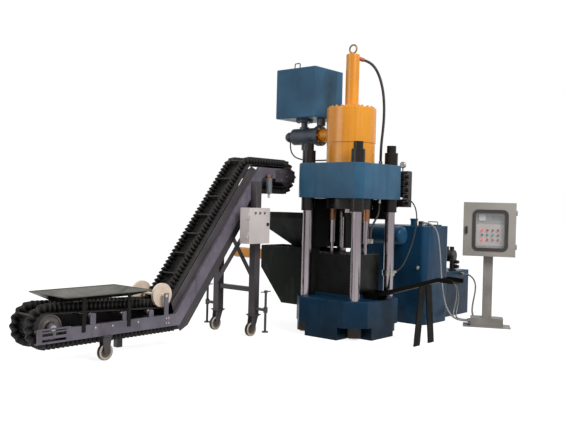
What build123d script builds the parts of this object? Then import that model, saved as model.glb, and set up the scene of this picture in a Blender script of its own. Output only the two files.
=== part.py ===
import math
import os

from build123d import *

os.makedirs("parts", exist_ok=True)

# Briquetting press with its feeding conveyor, power unit and control pedestal, in millimetres.
# The origin is the middle of the press base on the floor. +X runs along the discharge chute,
# +Y towards the power unit and +Z up.

# Shared clearances
overrun = 5.0            # how far a cut runs past the face that it opens
fit_gap = 0.2            # round a fixed piece in its seat
run_gap = 0.4            # round a sliding piece
shaft_gap = 0.05         # round a running shaft
edge_break = 6.0         # bevel on the heavy blocks

# Press frame
column_pitch = 650.0
column_dia = 110.0
thread_dia = 104.0
base_side = 946.0
base_corner = 180.0
base_height = 410.0
pad_side = 500.0
pad_height = 40.0
pocket_inner = 210.0     # from the press axis to the corner pocket's inner wall
pocket_height = 135.0
column_foot = 20.0       # floor to the column's lower end
daylight = 1074.0        # base to crosshead
crosshead_side = 868.0
crosshead_corner = 80.0
crosshead_height = 376.0
nut_dia = 146.0
nut_height = 140.0
base_nut_dia = 170.0
base_nut_height = 100.0
stud_length = 80.0

# Main cylinder and ram
nose_dia = 470.0
ring_nut_dia = 530.0
ring_nut_height = 114.0
barrel_dia = 530.0
barrel_height = 233.0
head_dia = 544.0
head_height = 347.0
piston_bore = 400.0
gland_depth = 270.0      # solid bottom of the cylinder that guides the ram
ram_dia = 160.0
ram_drop = 40.0          # ram end below the ring nut
piston_lift = 330.0      # piston underside above the bore's floor at rest
piston_height = 140.0
cover_height = 35.0
rapid_dia = 148.0
rapid_bore = 92.0
rapid_height = 600.0
rapid_flange_dia = 230.0
rapid_flange_height = 28.0
rapid_cap = 60.0         # solid top of the rapid cylinder
rapid_rod_dia = 70.0
rapid_rod_length = 790.0
eye_ring_dia = 92.0      # to the middle of the ring's bar
eye_bar_dia = 19.0
eye_collar_dia = 56.0
eye_collar_height = 14.0
eye_turn = 40.0          # degrees about the vertical
bail_x = -720.0
bail_y = -80.0
bail_width = 76.0
bail_height = 75.0
bail_round = 16.0
bail_bar_dia = 12.0
punch_dia = 110.0
punch_flange_dia = 150.0
punch_flange_height = 50.0
punch_length = 390.0

# Mould and demoulding
mould_side = 500.0
mould_height = 430.0
mould_lift = 70.0        # demoulding travel
die_gap = 0.5            # punch to die bore, all round
demould_spread = 450.0
demould_cap_dia = 84.0
demould_cap_height = 128.0
demould_barrel_dia = 73.0
demould_barrel_height = 247.0
demould_rod_dia = 40.0
demould_engage = 135.0   # of each rod inside its cylinder at rest
demould_bore_end = 30.0  # closed end of each barrel's bore

# Feed bed, pusher and hopper
bed_end_x = -1105.0
bed_width = 400.0
bed_top = 920.0
bed_plate = 14.0
bed_end_low = 660.0      # height of the side plate's lower edge at the outer end
bed_foot_x = -780.0
bed_foot_z = 270.0
bed_mould_gap = 5.0
feed_z = 795.0
pusher_width = 120.0
pusher_height = 110.0
pusher_length = 400.0
pusher_front_x = -600.0
feed_window_length = 150.0
window_room = 8.0        # free height round the pusher in the mould's window
feed_barrel_dia = 125.0
feed_bore_dia = 96.0
feed_barrel_length = 595.0
feed_end_wall = 18.0
feed_rod_dia = 50.0
feed_piston_length = 40.0
feed_piston_back = 8.0   # room behind the piston at rest
hopper_rim_z = 1310.0
hopper_band = 60.0
hopper_length = 770.0
hopper_width = 540.0
hopper_sheet = 5.0

# Discharge chute
chute_start_x = 255.0
chute_bend_x = 440.0
chute_top_x = 1150.0
chute_end_x = 1310.0
chute_rise = 220.0
chute_end_rise = -10.0
chute_y = 45.0           # its middle, beside the press axis
chute_width = 240.0
chute_wall = 36.0
chute_sheet = 6.0
chute_lift = 2.0         # chute floor above the base pad
chute_leg_x = 945.0
chute_leg_gap = 10.0     # between the legs, at their tops
chute_leg_splay = 85.0   # each leg outwards, top to floor
chute_leg_plate = 12.0
chute_foot_x = 301.0
chute_foot_length = 110.0

# Fill tank and prefill valve
tank_box = (571.0, 530.0, 570.0)
tank_box_x = -648.0
tank_box_y = 65.0
tank_box_z = 2392.0      # underside
tank_box_sheet = 5.0
tank_box_round = 12.0
valve_z = 2195.0
fill_pipe_x = -660.0
fill_pipe_dia = 76.0
fill_pipe_wall = 6.0
fill_flange_dia = 200.0
fill_flange_height = 30.0
bleed_pipe_dia = 100.0
stub_dia = 150.0
stub_bore = 90.0
stub_flange_dia = 230.0
stub_flange_width = 26.0
stub_end_x = -430.0
valve_body_dia = 190.0
valve_body_length = 370.0
valve_boss_dia = 110.0
valve_boss_height = 14.0
valve_neck_dia = 70.0
valve_neck_length = 70.0
valve_ball_dia = 120.0
drain_dia = 60.0
drain_length = 62.0

# Valve stack behind the crosshead
stack_x = 110.0
stack_width = 150.0
stack_depth = 166.0
stack_low = 1400.0
stack_height = 400.0
stack_rows = 5
stack_row_height = 62.0
stack_row_gap = 14.0
stack_valve_length = 140.0
stack_valve_depth = 84.0
coil_dia = 48.0
coil_length = 50.0
gauge_dia = 84.0
gauge_depth = 32.0
gauge_stem_dia = 16.0
gauge_stem_length = 40.0

# Power unit
tank_front_y = 1100.0
tank_side_x = 350.0
tank_length = 1000.0
tank_depth = 600.0
tank_height = 1175.0
tank_sheet = 5.0
tank_round = 70.0
lid_plate = 8.0
breather_x = 72.0
breather_y = 1300.0
breather_dia = 84.0
breather_height = 62.0
breather_cap_dia = 96.0
breather_cap_height = 24.0
hatch_x = 225.0
hatch_y = 1500.0
hatch_length = 170.0
hatch_width = 130.0
hatch_height = 16.0
hatch_bar_dia = 12.0
hatch_grip_length = 130.0
hatch_grip_height = 34.0
cooler_y = 800.0
cooler_z = 1070.0
cooler_dia = 220.0
cooler_left_x = -700.0
cooler_right_x = 190.0
cooler_dome = 60.0
cooler_wall = 6.0
cooler_port_dia = 48.0
cooler_port_bore = 34.0
cooler_port_length = 40.0
cooler_foot = 120.0      # from each end to its bracket
cooler_bracket = 12.0
cooler_bracket_height = 190.0
plinth_side_x = 200.0
plinth_length = 850.0
plinth_gap = 10.0        # behind the oil tank
plinth_depth = 860.0
plinth_height = 584.0
plinth_sheet = 5.0
motor_y = 2400.0
motor_dia = 290.0
motor_length = 400.0
motor_left_x = -600.0
motor_lift = 180.0       # shaft above the plinth
motor_foot_width = 260.0
motor_foot_length = 300.0
motor_box = (150.0, 110.0, 70.0)
bell_dia = 220.0
bell_length = 120.0
pump_dia = 160.0
pump_length = 150.0
pump_port_dia = 60.0
pump_port_pitch = 76.0
pump_port_height = 45.0

# Control pedestal
pedestal_x = 950.0
pedestal_y = 1535.0      # middle of the cabinet's front
pedestal_turn = 26.0     # degrees about the vertical
foot_width = 550.0
foot_depth = 300.0
foot_plate = 8.0
channel_width = 376.0
channel_depth = 200.0
channel_height = 100.0
channel_sheet = 6.0
channel_front = 50.0     # behind the cabinet's front
post_side = 110.0
post_wall = 6.0
case_width = 600.0
case_depth = 250.0
case_height = 637.0
case_low = 848.0
case_sheet = 3.0
door_depth = 20.0
door_sheet = 2.5
window_across = 10.0     # window centre right of the cabinet's middle
window_up = 308.0        # window centre above the cabinet's underside
window_width = 360.0
window_height = 440.0
window_round = 40.0
gasket_width = 25.0
gasket_proud = 8.0
pane_thickness = 4.0
pane_gap = 2.0
panel_depth = 45.0       # behind the cabinet's front
panel_plate = 3.0
button_plate_width = 320.0
button_plate_height = 255.0
button_plate_thickness = 4.0
button_plate_up = 252.0
button_pitch_across = 60.0
button_pitch_up = 57.0
button_count = 4         # in a row
button_dia = 24.0
button_cap = 12.0
button_rise = 7.0        # free travel room under the cap
button_stem_dia = 14.0
button_stem_length = 24.0
lamp_dia = 26.0
lamp_height = 16.0
meter_side = 75.0
meter_depth = 14.0
meter_across = -82.0
meter_up = 459.0
blank_width = 120.0
blank_height = 62.0
blank_thickness = 2.0
blank_across = 85.0
blank_up = 455.0
handle_across = -262.0
handle_up = 309.0
handle_width = 28.0
handle_height = 86.0
handle_depth = 18.0
handle_round_share = 0.33
handle_shaft_dia = 16.0
handle_stand_off = 2.0
hinge_dia = 14.0
hinge_pin_dia = 6.0
hinge_knuckle = 30.0
hinge_out = 9.0          # hinge axis beyond the door's edge
hinge_inset = 90.0       # from the door's ends to its hinges

# Conveyor
conveyor_x = -830.0
tail_y = -3290.0
tail_z = 341.0
low_bend_y = -1905.0
high_bend_y = -860.0
head_y = -300.0
head_z = 1713.0
drum_dia = 216.0
drum_gap = 0.6           # belt clear of drums and discs
belt_width = 350.0
belt_thickness = 8.0
wall_height = 78.0
wall_thickness = 30.0
wall_spread = 220.0      # between the middles of the two sidewalls
disc_y = -2085.0
disc_z = 513.0
disc_dia = 228.0
disc_thickness = 30.0
disc_spread = 300.0
disc_axle_dia = 30.0
drum_shaft_dia = 50.0
drum_shell = 10.0
drum_web = 40.0          # solid middle between the two recesses
drum_hub_dia = 80.0
rail_spread = 450.0      # over the outer faces of the rails
rail_depth = 110.0
rail_flange = 40.0
rail_wall = 6.0
rail_low_drop = 66.0     # rail middle below the tail drum's axis
rail_high_rise = 28.0    # rail middle above the head drum's axis
rail_low_shift = -38.0
rail_high_shift = 71.0
rail_tail_over = 150.0   # near rail's end past the tail drum's axis
rail_far_over = 60.0     # and the far rail's
rail_head_short = 140.0  # rail end short of the head drum's axis
tie_dia = 40.0
low_tie_shares = (0.2, 0.55, 0.9)
slope_tie_shares = (0.3, 0.72)
high_tie_shares = (0.55,)
bearing_plate = 10.0
bearing_plate_height = 130.0
head_plate_back = 260.0
bearing_front = 62.0
bearing_boss_dia = 92.0
bearing_boss_depth = 20.0
tail_plate_back = 160.0
tail_plate_rise = 4.0    # over the tail drum's axis
tail_plate_drop = 119.0
tail_boss_dia = 76.0
tail_boss_depth = 36.0   # inwards from the rail's outer face
slot_rows = ((13.0, 13.0), (37.0, 26.0), (85.0, 24.0))   # below the plate's top, and height
slot_end = 42.0          # from the plate's ends
slot_divider = 26.0
disc_post_width = 50.0
disc_post_plate = 10.0
tray_half_width = 285.0
tray_tail_y = -3215.0
tray_head_y = -2310.0
tray_rim_z = 595.0
tray_lip = 6.0
tray_out_half_width = 88.0
tray_out_inset = 80.0
tray_out_z = 532.0
tray_sheet = 4.0
tray_post_width = 36.0
tray_post_plate = 6.0
tray_post_inset = 215.0

# Conveyor stand, castors and jacks
leg_y = -910.0
leg_side = 80.0
leg_wall = 5.0
leg_top = 1640.0
sole_side = 112.0
sole_plate = 10.0
low_bar_z = 490.0
low_bar_side = 50.0
brace_width = 50.0
brace_plate = 6.0
brace_low = 520.0
brace_high = 1240.0
castor_height = 222.0
wheel_dia = 150.0
wheel_width = 42.0
wheel_hub_dia = 52.0
wheel_hub_width = 50.0
castor_axle_dia = 20.0
castor_trail = 40.0
kingpin_dia = 24.0
kingpin_length = 40.0
crown_side = 92.0
crown_plate = 9.0
cheek_plate = 6.0
cheek_width = 52.0
cheek_gap = 2.0          # cheek to wheel hub
axle_drop = 20.0         # cheek below the axle
front_wheel_y = -2761.0
foot_post_y = -2310.0
foot_post_side = 60.0
jack_out = 130.0         # jack axis beyond the leg's outer face
jack_screw_dia = 26.0
jack_foot_dia = 70.0
jack_foot_height = 12.0
jack_foot_z = 58.0
jack_top_z = 470.0
jack_hub_dia = 38.0
jack_hub_height = 28.0
jack_bar_dia = 12.0
jack_bar_length = 150.0
sleeve_dia = 46.0
sleeve_low = 265.0
sleeve_height = 56.0
arm_width = 40.0
arm_height = 26.0

# Gear motor on the head shaft
gear_side = 170.0
gear_width = 110.0
gear_round_share = 0.25
gear_shaft_depth = 60.0
gear_motor_dia = 132.0
gear_motor_length = 220.0
gear_fan_dia = 120.0
gear_fan_length = 30.0

# Control box on the near leg
box_depth = 110.0
box_width = 315.0
box_height = 370.0
box_low = 990.0
box_back_shift = -122.5  # box middle from the leg's middle, along Y
box_sheet = 3.0
box_door_depth = 19.0
box_door_sheet = 2.5
box_hinge_inset = 55.0
box_lamp_dia = 24.0
box_lamp_height = 10.0
box_lamp_pitch = 70.0
box_lamp_down = 52.0
box_lock_side = 30.0
box_lock_depth = 12.0
box_lock_in = 36.0

# Hoses and cables
bend_share = 0.45        # of the shorter run, taken up by each arc
top_hose_dia = 30.0
top_hose_route = [
    (67, 111, 3025), (98, 163, 3012), (131, 218, 2972), (158, 262, 2905), (181, 301, 2805),
    (199, 332, 2660), (206, 344, 2465), (201, 335, 2270), (190, 318, 2086), (190, 318, 1910),
]
press_hose_dia = 24.0
press_hose_route = [
    (300, 140, 1440), (300, 140, 1375), (299, 121, 1308), (295, 72, 1250), (291, 19, 1182),
    (290, 0, 1115), (290, 0, 1050),
]
signal_cable_dia = 14.0
signal_cable_route = [
    (420, 420, 1500), (454, 454, 1500), (480, 497, 1482), (497, 535, 1448), (507, 566, 1400),
    (512, 585, 1340), (513, 592, 1270), (510, 586, 1190), (503, 570, 1105), (493, 545, 1015),
    (480, 512, 925), (465, 474, 840), (448, 434, 765), (424, 398, 715), (396, 372, 692),
]
conduit_dia = 24.0
conduit_1_route = [
    (250, 1210, 1222), (312, 1210, 1222), (369, 1213, 1199), (414, 1218, 1156), (442, 1226, 1092),
    (451, 1238, 1007), (450, 1264, 915), (444, 1298, 800), (436, 1335, 670), (430, 1370, 540),
    (430, 1405, 410), (440, 1432, 290), (462, 1458, 190), (500, 1484, 115), (552, 1509, 68),
    (612, 1537, 50), (688, 1574.07, 50),
]
conduit_2_route = [
    (240, 2330, 540), (302, 2330, 540), (359, 2327, 517), (404, 2320, 474), (432, 2308, 414),
    (440, 2288, 336), (440, 2256, 256), (446, 2214, 186), (462, 2164, 128), (490, 2106, 86),
    (530, 2040, 56), (580, 1970, 42), (634, 1893, 44), (684, 1806, 50), (719.12, 1734, 50),
]
fitting_wall = 7.0       # fitting beyond its hose, all round
elbow_length = 80.0      # long enough to reach the rapid cylinder
port_block = (44.0, 36.0, 46.0)
gland_block = (56.0, 40.0)
clamp_wall = 14.0
clamp_low = 642.0
clamp_height = 60.0
clamp_reach = 46.0

# Places that follow from the sizes above
pad_top = base_height + pad_height
crosshead_low = base_height + daylight
crosshead_top = crosshead_low + crosshead_height
ring_nut_low = crosshead_low - ring_nut_height
barrel_top = crosshead_top + barrel_height
cylinder_top = barrel_top + head_height
bore_floor = ring_nut_low + gland_depth
cover_top = cylinder_top + cover_height
rapid_top = cover_top + rapid_height
ram_low = ring_nut_low - ram_drop
piston_low = bore_floor + piston_lift
mould_top = pad_top + mould_height
pusher_low = feed_z - pusher_height / 2
pusher_high = feed_z + pusher_height / 2
bed_lid_top = pusher_high + run_gap + bed_plate
mould_face_x = -mould_side / 2
window_low = pusher_low - mould_lift - window_room
window_high = pusher_high + window_room
stack_face_y = crosshead_side / 2
lid_top = tank_height + lid_plate
motor_z = plinth_height + motor_lift
drum_radius = drum_dia / 2
drum_half = belt_width / 2
rail_half = rail_spread / 2
leg_x = rail_half + leg_side / 2
near_leg_face = conveyor_x + rail_half + leg_side


def block(low, high, mode=Mode.ADD):
    size = [top - bottom for bottom, top in zip(low, high)]
    middle = tuple((bottom + top) / 2 for bottom, top in zip(low, high))
    with Locations(middle):
        Box(*size, mode=mode)


def rod(plane, place, diameter, length, mode=Mode.ADD):
    with BuildSketch(plane) as disc:
        with Locations(place):
            Circle(diameter / 2)
    extrude(disc.sketch, amount=length, mode=mode)


def upright(place, low, high, diameter, mode=Mode.ADD):
    rod(Plane.XY.offset(low), place, diameter, high - low, mode)


def crossbar(low_x, high_x, place, diameter, mode=Mode.ADD):
    rod(Plane.YZ.offset(low_x), place, diameter, high_x - low_x, mode)


def four_columns(low, high, diameter, mode=Mode.ADD):
    with BuildSketch(Plane.XY.offset(low)) as discs:
        with GridLocations(column_pitch, column_pitch, 2, 2):
            Circle(diameter / 2)
    extrude(discs.sketch, amount=high - low, mode=mode)


# Press base: heavy block with bevelled corners, a raised pad and a nut pocket under each column
pocket_span = base_side / 2 - pocket_inner + overrun
pocket_pitch = 2 * pocket_inner + pocket_span

with BuildPart() as press_base:
    with BuildSketch() as base_plan:
        Rectangle(base_side, base_side)
        chamfer(base_plan.vertices(), base_corner)
    extrude(amount=base_height)
    chamfer(press_base.faces().sort_by(Axis.Z)[-1].edges(), edge_break)
    with BuildSketch(Plane.XY.offset(base_height)):
        Rectangle(pad_side, pad_side)
    extrude(amount=pad_height)
    with BuildSketch():
        with GridLocations(pocket_pitch, pocket_pitch, 2, 2):
            Rectangle(pocket_span, pocket_span)
    extrude(amount=pocket_height, mode=Mode.SUBTRACT)
    four_columns(0, base_height, column_dia + 2 * fit_gap, Mode.SUBTRACT)
press_base.part.label = "press_base"
export_step(press_base.part, "parts/press_base.step")

# Tie columns with threaded upper ends
with BuildPart() as tie_columns:
    four_columns(column_foot, crosshead_top, column_dia)
    four_columns(crosshead_top, crosshead_top + nut_height + stud_length, thread_dia)
tie_columns.part.label = "tie_columns"
export_step(tie_columns.part, "parts/tie_columns.step")

# Ring nuts: on the crosshead, under it, under the base, and the one that clamps the main cylinder
with BuildPart() as ring_nuts:
    four_columns(crosshead_top, crosshead_top + nut_height, nut_dia)
    four_columns(crosshead_top, crosshead_top + nut_height, thread_dia + 2 * fit_gap, Mode.SUBTRACT)
    four_columns(crosshead_low - nut_height, crosshead_low, nut_dia)
    four_columns(pocket_height - base_nut_height, pocket_height, base_nut_dia)
    four_columns(0, crosshead_low, column_dia + 2 * fit_gap, Mode.SUBTRACT)
    upright((0, 0), ring_nut_low, crosshead_low, ring_nut_dia)
    upright((0, 0), ring_nut_low, crosshead_low, nose_dia + 2 * fit_gap, Mode.SUBTRACT)
ring_nuts.part.label = "ring_nuts"
export_step(ring_nuts.part, "parts/ring_nuts.step")

# Crosshead: block with bevelled corners, bored for the columns and the main cylinder
with BuildPart() as crosshead:
    with BuildSketch(Plane.XY.offset(crosshead_low)) as crosshead_plan:
        Rectangle(crosshead_side, crosshead_side)
        chamfer(crosshead_plan.vertices(), crosshead_corner)
    extrude(amount=crosshead_height)
    chamfer(crosshead.faces().sort_by(Axis.Z)[-1].edges(), edge_break)
    four_columns(crosshead_low, crosshead_top, column_dia + 2 * fit_gap, Mode.SUBTRACT)
    upright((0, 0), crosshead_low, crosshead_top, nose_dia + 2 * fit_gap, Mode.SUBTRACT)
crosshead.part.label = "crosshead"
export_step(crosshead.part, "parts/crosshead.step")

# Main cylinder: nose through the crosshead, stepped barrel above it and the prefill stub at its side
stub_length = -stub_end_x

with BuildPart() as main_cylinder:
    upright((0, 0), ring_nut_low, crosshead_top, nose_dia)
    upright((0, 0), crosshead_top, barrel_top, barrel_dia)
    upright((0, 0), barrel_top, cylinder_top, head_dia)
    rod(Plane.YZ, (0, valve_z), stub_dia, -stub_length)
    rod(Plane.YZ.offset(stub_end_x), (0, valve_z), stub_flange_dia, stub_flange_width)
    rod(Plane.YZ, (0, valve_z), stub_bore, -stub_length, Mode.SUBTRACT)
    upright((0, 0), bore_floor, cylinder_top, piston_bore, Mode.SUBTRACT)
    upright((0, 0), ring_nut_low, bore_floor, ram_dia + 2 * run_gap, Mode.SUBTRACT)
main_cylinder.part.label = "main_cylinder"
export_step(main_cylinder.part, "parts/main_cylinder.step")

# Cylinder cover with the bore for the rapid rod
with BuildPart() as cylinder_cover:
    upright((0, 0), cylinder_top, cover_top, head_dia)
    chamfer(cylinder_cover.faces().sort_by(Axis.Z)[-1].edges(), edge_break)
    upright((0, 0), cylinder_top, cover_top, rapid_rod_dia + 2 * run_gap, Mode.SUBTRACT)
cylinder_cover.part.label = "cylinder_cover"
export_step(cylinder_cover.part, "parts/cylinder_cover.step")

# Rapid cylinder: flanged tube, closed at the top
with BuildPart() as rapid_cylinder:
    upright((0, 0), cover_top, cover_top + rapid_flange_height, rapid_flange_dia)
    upright((0, 0), cover_top, rapid_top, rapid_dia)
    chamfer(rapid_cylinder.faces().sort_by(Axis.Z)[-1].edges(), edge_break)
    upright((0, 0), cover_top, rapid_top - rapid_cap, rapid_bore, Mode.SUBTRACT)
rapid_cylinder.part.label = "rapid_cylinder"
export_step(rapid_cylinder.part, "parts/rapid_cylinder.step")

# Lifting eye on the rapid cylinder and a bent bar bail on the fill tank
tank_box_top = tank_box_z + tank_box[2]
bail_left, bail_right = bail_x - bail_width / 2, bail_x + bail_width / 2
bail_points = [
    (bail_left, bail_y, tank_box_top), (bail_left, bail_y, tank_box_top + bail_height),
    (bail_right, bail_y, tank_box_top + bail_height), (bail_right, bail_y, tank_box_top),
]


def eye(place, low, ring_dia, bar_dia, collar_dia, collar_height):
    upright(place, low, low + collar_height, collar_dia)
    ring_z = low + collar_height + ring_dia / 2
    with Locations(Location((*place, ring_z), (90, 0, eye_turn))):
        Torus(ring_dia / 2, bar_dia / 2)


with BuildPart() as lifting_eyes:
    eye((0, 0), rapid_top, eye_ring_dia, eye_bar_dia, eye_collar_dia, eye_collar_height)
    with BuildLine() as bail_line:
        FilletPolyline(*bail_points, radius=bail_round)
    with BuildSketch(Plane(bail_points[0], z_dir=(0, 0, 1))) as bail_bar:
        Circle(bail_bar_dia / 2)
    sweep(bail_bar.sketch, path=bail_line.line)
lifting_eyes.part.label = "lifting_eyes"
export_step(lifting_eyes.part, "parts/lifting_eyes.step")

# Main ram: rod, piston and the thin rapid rod on top of it
piston_high = piston_low + piston_height

with BuildPart() as main_ram:
    upright((0, 0), ram_low, piston_low, ram_dia)
    upright((0, 0), piston_low, piston_high, piston_bore - 2 * run_gap)
    upright((0, 0), piston_high, piston_high + rapid_rod_length, rapid_rod_dia)
main_ram.part.label = "main_ram"
export_step(main_ram.part, "parts/main_ram.step")

# Punch: flanged bar under the ram
punch_low = ram_low - punch_length

with BuildPart() as punch:
    upright((0, 0), ram_low - punch_flange_height, ram_low, punch_flange_dia)
    upright((0, 0), punch_low, ram_low, punch_dia)
punch.part.label = "punch"
export_step(punch.part, "parts/punch.step")

# Mould block: die bore from top to bottom and a window for the feed pusher
window_half = pusher_width / 2 + window_room

with BuildPart() as mould_block:
    block((mould_face_x, mould_face_x, pad_top), (-mould_face_x, -mould_face_x, mould_top))
    chamfer(mould_block.faces().sort_by(Axis.Z)[-1].edges(), edge_break)
    upright((0, 0), pad_top, mould_top, punch_dia + 2 * die_gap, Mode.SUBTRACT)
    block((mould_face_x - overrun, -window_half, window_low), (0, window_half, window_high),
          Mode.SUBTRACT)
mould_block.part.label = "mould_block"
export_step(mould_block.part, "parts/mould_block.step")

# Demould rods stand on the mould, their cylinders hang from the ring nut
demould_places = [(-demould_spread / 2, 0), (demould_spread / 2, 0)]
demould_cap_low = ring_nut_low - demould_cap_height
demould_low = demould_cap_low - demould_barrel_height

with BuildPart() as demould_rods:
    for place in demould_places:
        upright(place, mould_top, demould_low + demould_engage, demould_rod_dia)
demould_rods.part.label = "demould_rods"
export_step(demould_rods.part, "parts/demould_rods.step")

with BuildPart() as demould_cylinders:
    for place in demould_places:
        upright(place, demould_cap_low, ring_nut_low, demould_cap_dia)
        upright(place, demould_low, demould_cap_low, demould_barrel_dia)
        upright(place, demould_low, demould_cap_low - demould_bore_end,
                demould_rod_dia + 2 * run_gap, Mode.SUBTRACT)
demould_cylinders.part.label = "demould_cylinders"
export_step(demould_cylinders.part, "parts/demould_cylinders.step")

# Feed bed: two side plates, floor, guide walls, lid with the hopper's window, and end plate
bed_inner_x = mould_face_x - bed_mould_gap
bed_half = bed_width / 2
guide_half = pusher_width / 2 + run_gap
bed_floor = pusher_low - run_gap
base_face_x = -base_side / 2
bed_side_points = [
    (bed_end_x, bed_top), (bed_end_x, bed_end_low), (bed_foot_x, bed_foot_z),
    (base_face_x, bed_foot_z), (base_face_x, base_height), (bed_inner_x, base_height),
    (bed_inner_x, bed_top),
]
feed_window_x = pusher_front_x + feed_window_length

with BuildPart() as feed_bed:
    for plane_y in (-bed_half, bed_half - bed_plate):
        with BuildSketch(Plane.XZ.offset(-plane_y)):
            Polygon(*bed_side_points, align=None)
        extrude(amount=-bed_plate)
    block((bed_end_x, -bed_half, bed_floor - bed_plate), (bed_inner_x, bed_half, bed_floor))
    for side in (-1, 1):
        low_y, high_y = sorted((side * guide_half, side * (guide_half + bed_plate)))
        block((bed_end_x, low_y, bed_floor), (bed_inner_x, high_y, bed_lid_top))
    block((bed_end_x, -bed_half, bed_lid_top - bed_plate), (bed_inner_x, bed_half, bed_lid_top))
    block((pusher_front_x, -guide_half, bed_lid_top - bed_plate),
          (feed_window_x, guide_half, bed_lid_top), Mode.SUBTRACT)
    block((bed_end_x, -bed_half, bed_end_low), (bed_end_x + bed_plate, bed_half, bed_top))
    crossbar(bed_end_x, bed_end_x + bed_plate, (0, feed_z), feed_rod_dia + 2 * run_gap, Mode.SUBTRACT)
feed_bed.part.label = "feed_bed"
export_step(feed_bed.part, "parts/feed_bed.step")

# Feed pusher: block in the bed, with its rod and piston in the feed cylinder
feed_back_x = bed_end_x - feed_barrel_length
piston_back_x = feed_back_x + feed_end_wall + feed_piston_back
pusher_back_x = pusher_front_x - pusher_length

with BuildPart() as feed_pusher:
    block((pusher_back_x, -pusher_width / 2, pusher_low), (pusher_front_x, pusher_width / 2, pusher_high))
    crossbar(piston_back_x, pusher_back_x, (0, feed_z), feed_rod_dia)
    crossbar(piston_back_x, piston_back_x + feed_piston_length, (0, feed_z), feed_bore_dia - 2 * run_gap)
feed_pusher.part.label = "feed_pusher"
export_step(feed_pusher.part, "parts/feed_pusher.step")

# Feed cylinder on the bed's end plate
with BuildPart() as feed_cylinder:
    crossbar(feed_back_x, bed_end_x, (0, feed_z), feed_barrel_dia)
    crossbar(feed_back_x + feed_end_wall, bed_end_x, (0, feed_z), feed_bore_dia, Mode.SUBTRACT)
feed_cylinder.part.label = "feed_cylinder"
export_step(feed_cylinder.part, "parts/feed_cylinder.step")

# Chip hopper: sheet funnel from a wide rim down to the window in the bed's lid
hopper_right_x = feed_window_x
hopper_mid_x = hopper_right_x - hopper_length / 2
outlet_mid_x = (pusher_front_x + feed_window_x) / 2
hopper_low_z = hopper_rim_z - hopper_band


def hopper_form(inset, low_z, high_z, mode):
    with BuildSketch(Plane.XY.offset(hopper_low_z)) as wide:
        with Locations((hopper_mid_x, 0)):
            Rectangle(hopper_length - 2 * inset, hopper_width - 2 * inset)
    with BuildSketch(Plane.XY.offset(low_z)) as narrow:
        with Locations((outlet_mid_x, 0)):
            Rectangle(feed_window_length - 2 * inset, 2 * guide_half - 2 * inset)
    loft([narrow.sketch, wide.sketch], mode=mode)
    extrude(wide.sketch, amount=high_z - hopper_low_z, mode=mode)


with BuildPart() as chip_hopper:
    hopper_form(0, bed_lid_top, hopper_rim_z, Mode.ADD)
    hopper_form(hopper_sheet, bed_lid_top, hopper_rim_z, Mode.SUBTRACT)
chip_hopper.part.label = "chip_hopper"
export_step(chip_hopper.part, "parts/chip_hopper.step")

# Discharge chute: bent channel with low walls, feet on the base and two splayed flat legs
chute_floor = pad_top + chute_lift
chute_points = [
    (chute_start_x, chute_floor), (chute_bend_x, chute_floor), (chute_top_x, chute_floor + chute_rise),
    (chute_end_x, chute_floor + chute_rise + chute_end_rise),
]
chute_slope = chute_rise / (chute_top_x - chute_bend_x)
chute_leg_top = chute_floor - chute_sheet / 2 + chute_slope * (chute_leg_x - chute_bend_x)
chute_near_y = chute_y - chute_width / 2
chute_far_y = chute_y + chute_width / 2


def chute_strip(low, high, y, width):
    upper = [(x, z + high) for x, z in chute_points]
    lower = [(x, z + low) for x, z in reversed(chute_points)]
    with BuildSketch(Plane.XZ.offset(-y)) as strip:
        Polygon(*upper, *lower, align=None)
    extrude(strip.sketch, amount=-width)


with BuildPart() as discharge_chute:
    chute_strip(-chute_sheet, 0, chute_near_y, chute_width)
    for wall_y in (chute_near_y, chute_far_y - chute_sheet):
        chute_strip(-chute_sheet, chute_wall, wall_y, chute_sheet)
        block((chute_foot_x, wall_y, base_height),
              (chute_foot_x + chute_foot_length, wall_y + chute_sheet, chute_floor))
    with BuildSketch(Plane.YZ.offset(chute_leg_x)) as chute_legs:
        for near_top, far_top, splay in (
            (chute_near_y, chute_y - chute_leg_gap / 2, -chute_leg_splay),
            (chute_y + chute_leg_gap / 2, chute_far_y, chute_leg_splay),
        ):
            Polygon((near_top, chute_leg_top), (near_top + splay, 0),
                    (far_top + splay, 0), (far_top, chute_leg_top), align=None)
    extrude(chute_legs.sketch, amount=chute_leg_plate / 2, both=True)
discharge_chute.part.label = "discharge_chute"
export_step(discharge_chute.part, "parts/discharge_chute.step")

# Fill tank: welded box, open only where the fill pipe leaves it
with BuildPart() as fill_tank:
    with Locations((tank_box_x, tank_box_y, tank_box_z + tank_box[2] / 2)):
        Box(*tank_box)
        fillet(fill_tank.edges(), tank_box_round)
        Box(*[side - 2 * tank_box_sheet for side in tank_box], mode=Mode.SUBTRACT)
    upright((fill_pipe_x, 0), tank_box_z, tank_box_z + tank_box_round, fill_pipe_dia, Mode.SUBTRACT)
fill_tank.part.label = "fill_tank"
export_step(fill_tank.part, "parts/fill_tank.step")

# Fill pipe down to the prefill valve, and the bleed pipe down to the stub's flange
valve_top = valve_z + valve_body_dia / 2 + valve_boss_height
bleed_foot = valve_z + stub_flange_dia / 2

with BuildPart() as fill_pipe:
    upright((fill_pipe_x, 0), tank_box_z - fill_flange_height, tank_box_z, fill_flange_dia)
    upright((fill_pipe_x, 0), valve_top, tank_box_z, fill_pipe_dia)
    upright((fill_pipe_x, 0), valve_top, tank_box_z, fill_pipe_dia - 2 * fill_pipe_wall, Mode.SUBTRACT)
    upright((stub_end_x + stub_flange_width / 2, 0), bleed_foot, tank_box_z, bleed_pipe_dia)
fill_pipe.part.label = "fill_pipe"
export_step(fill_pipe.part, "parts/fill_pipe.step")

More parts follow.
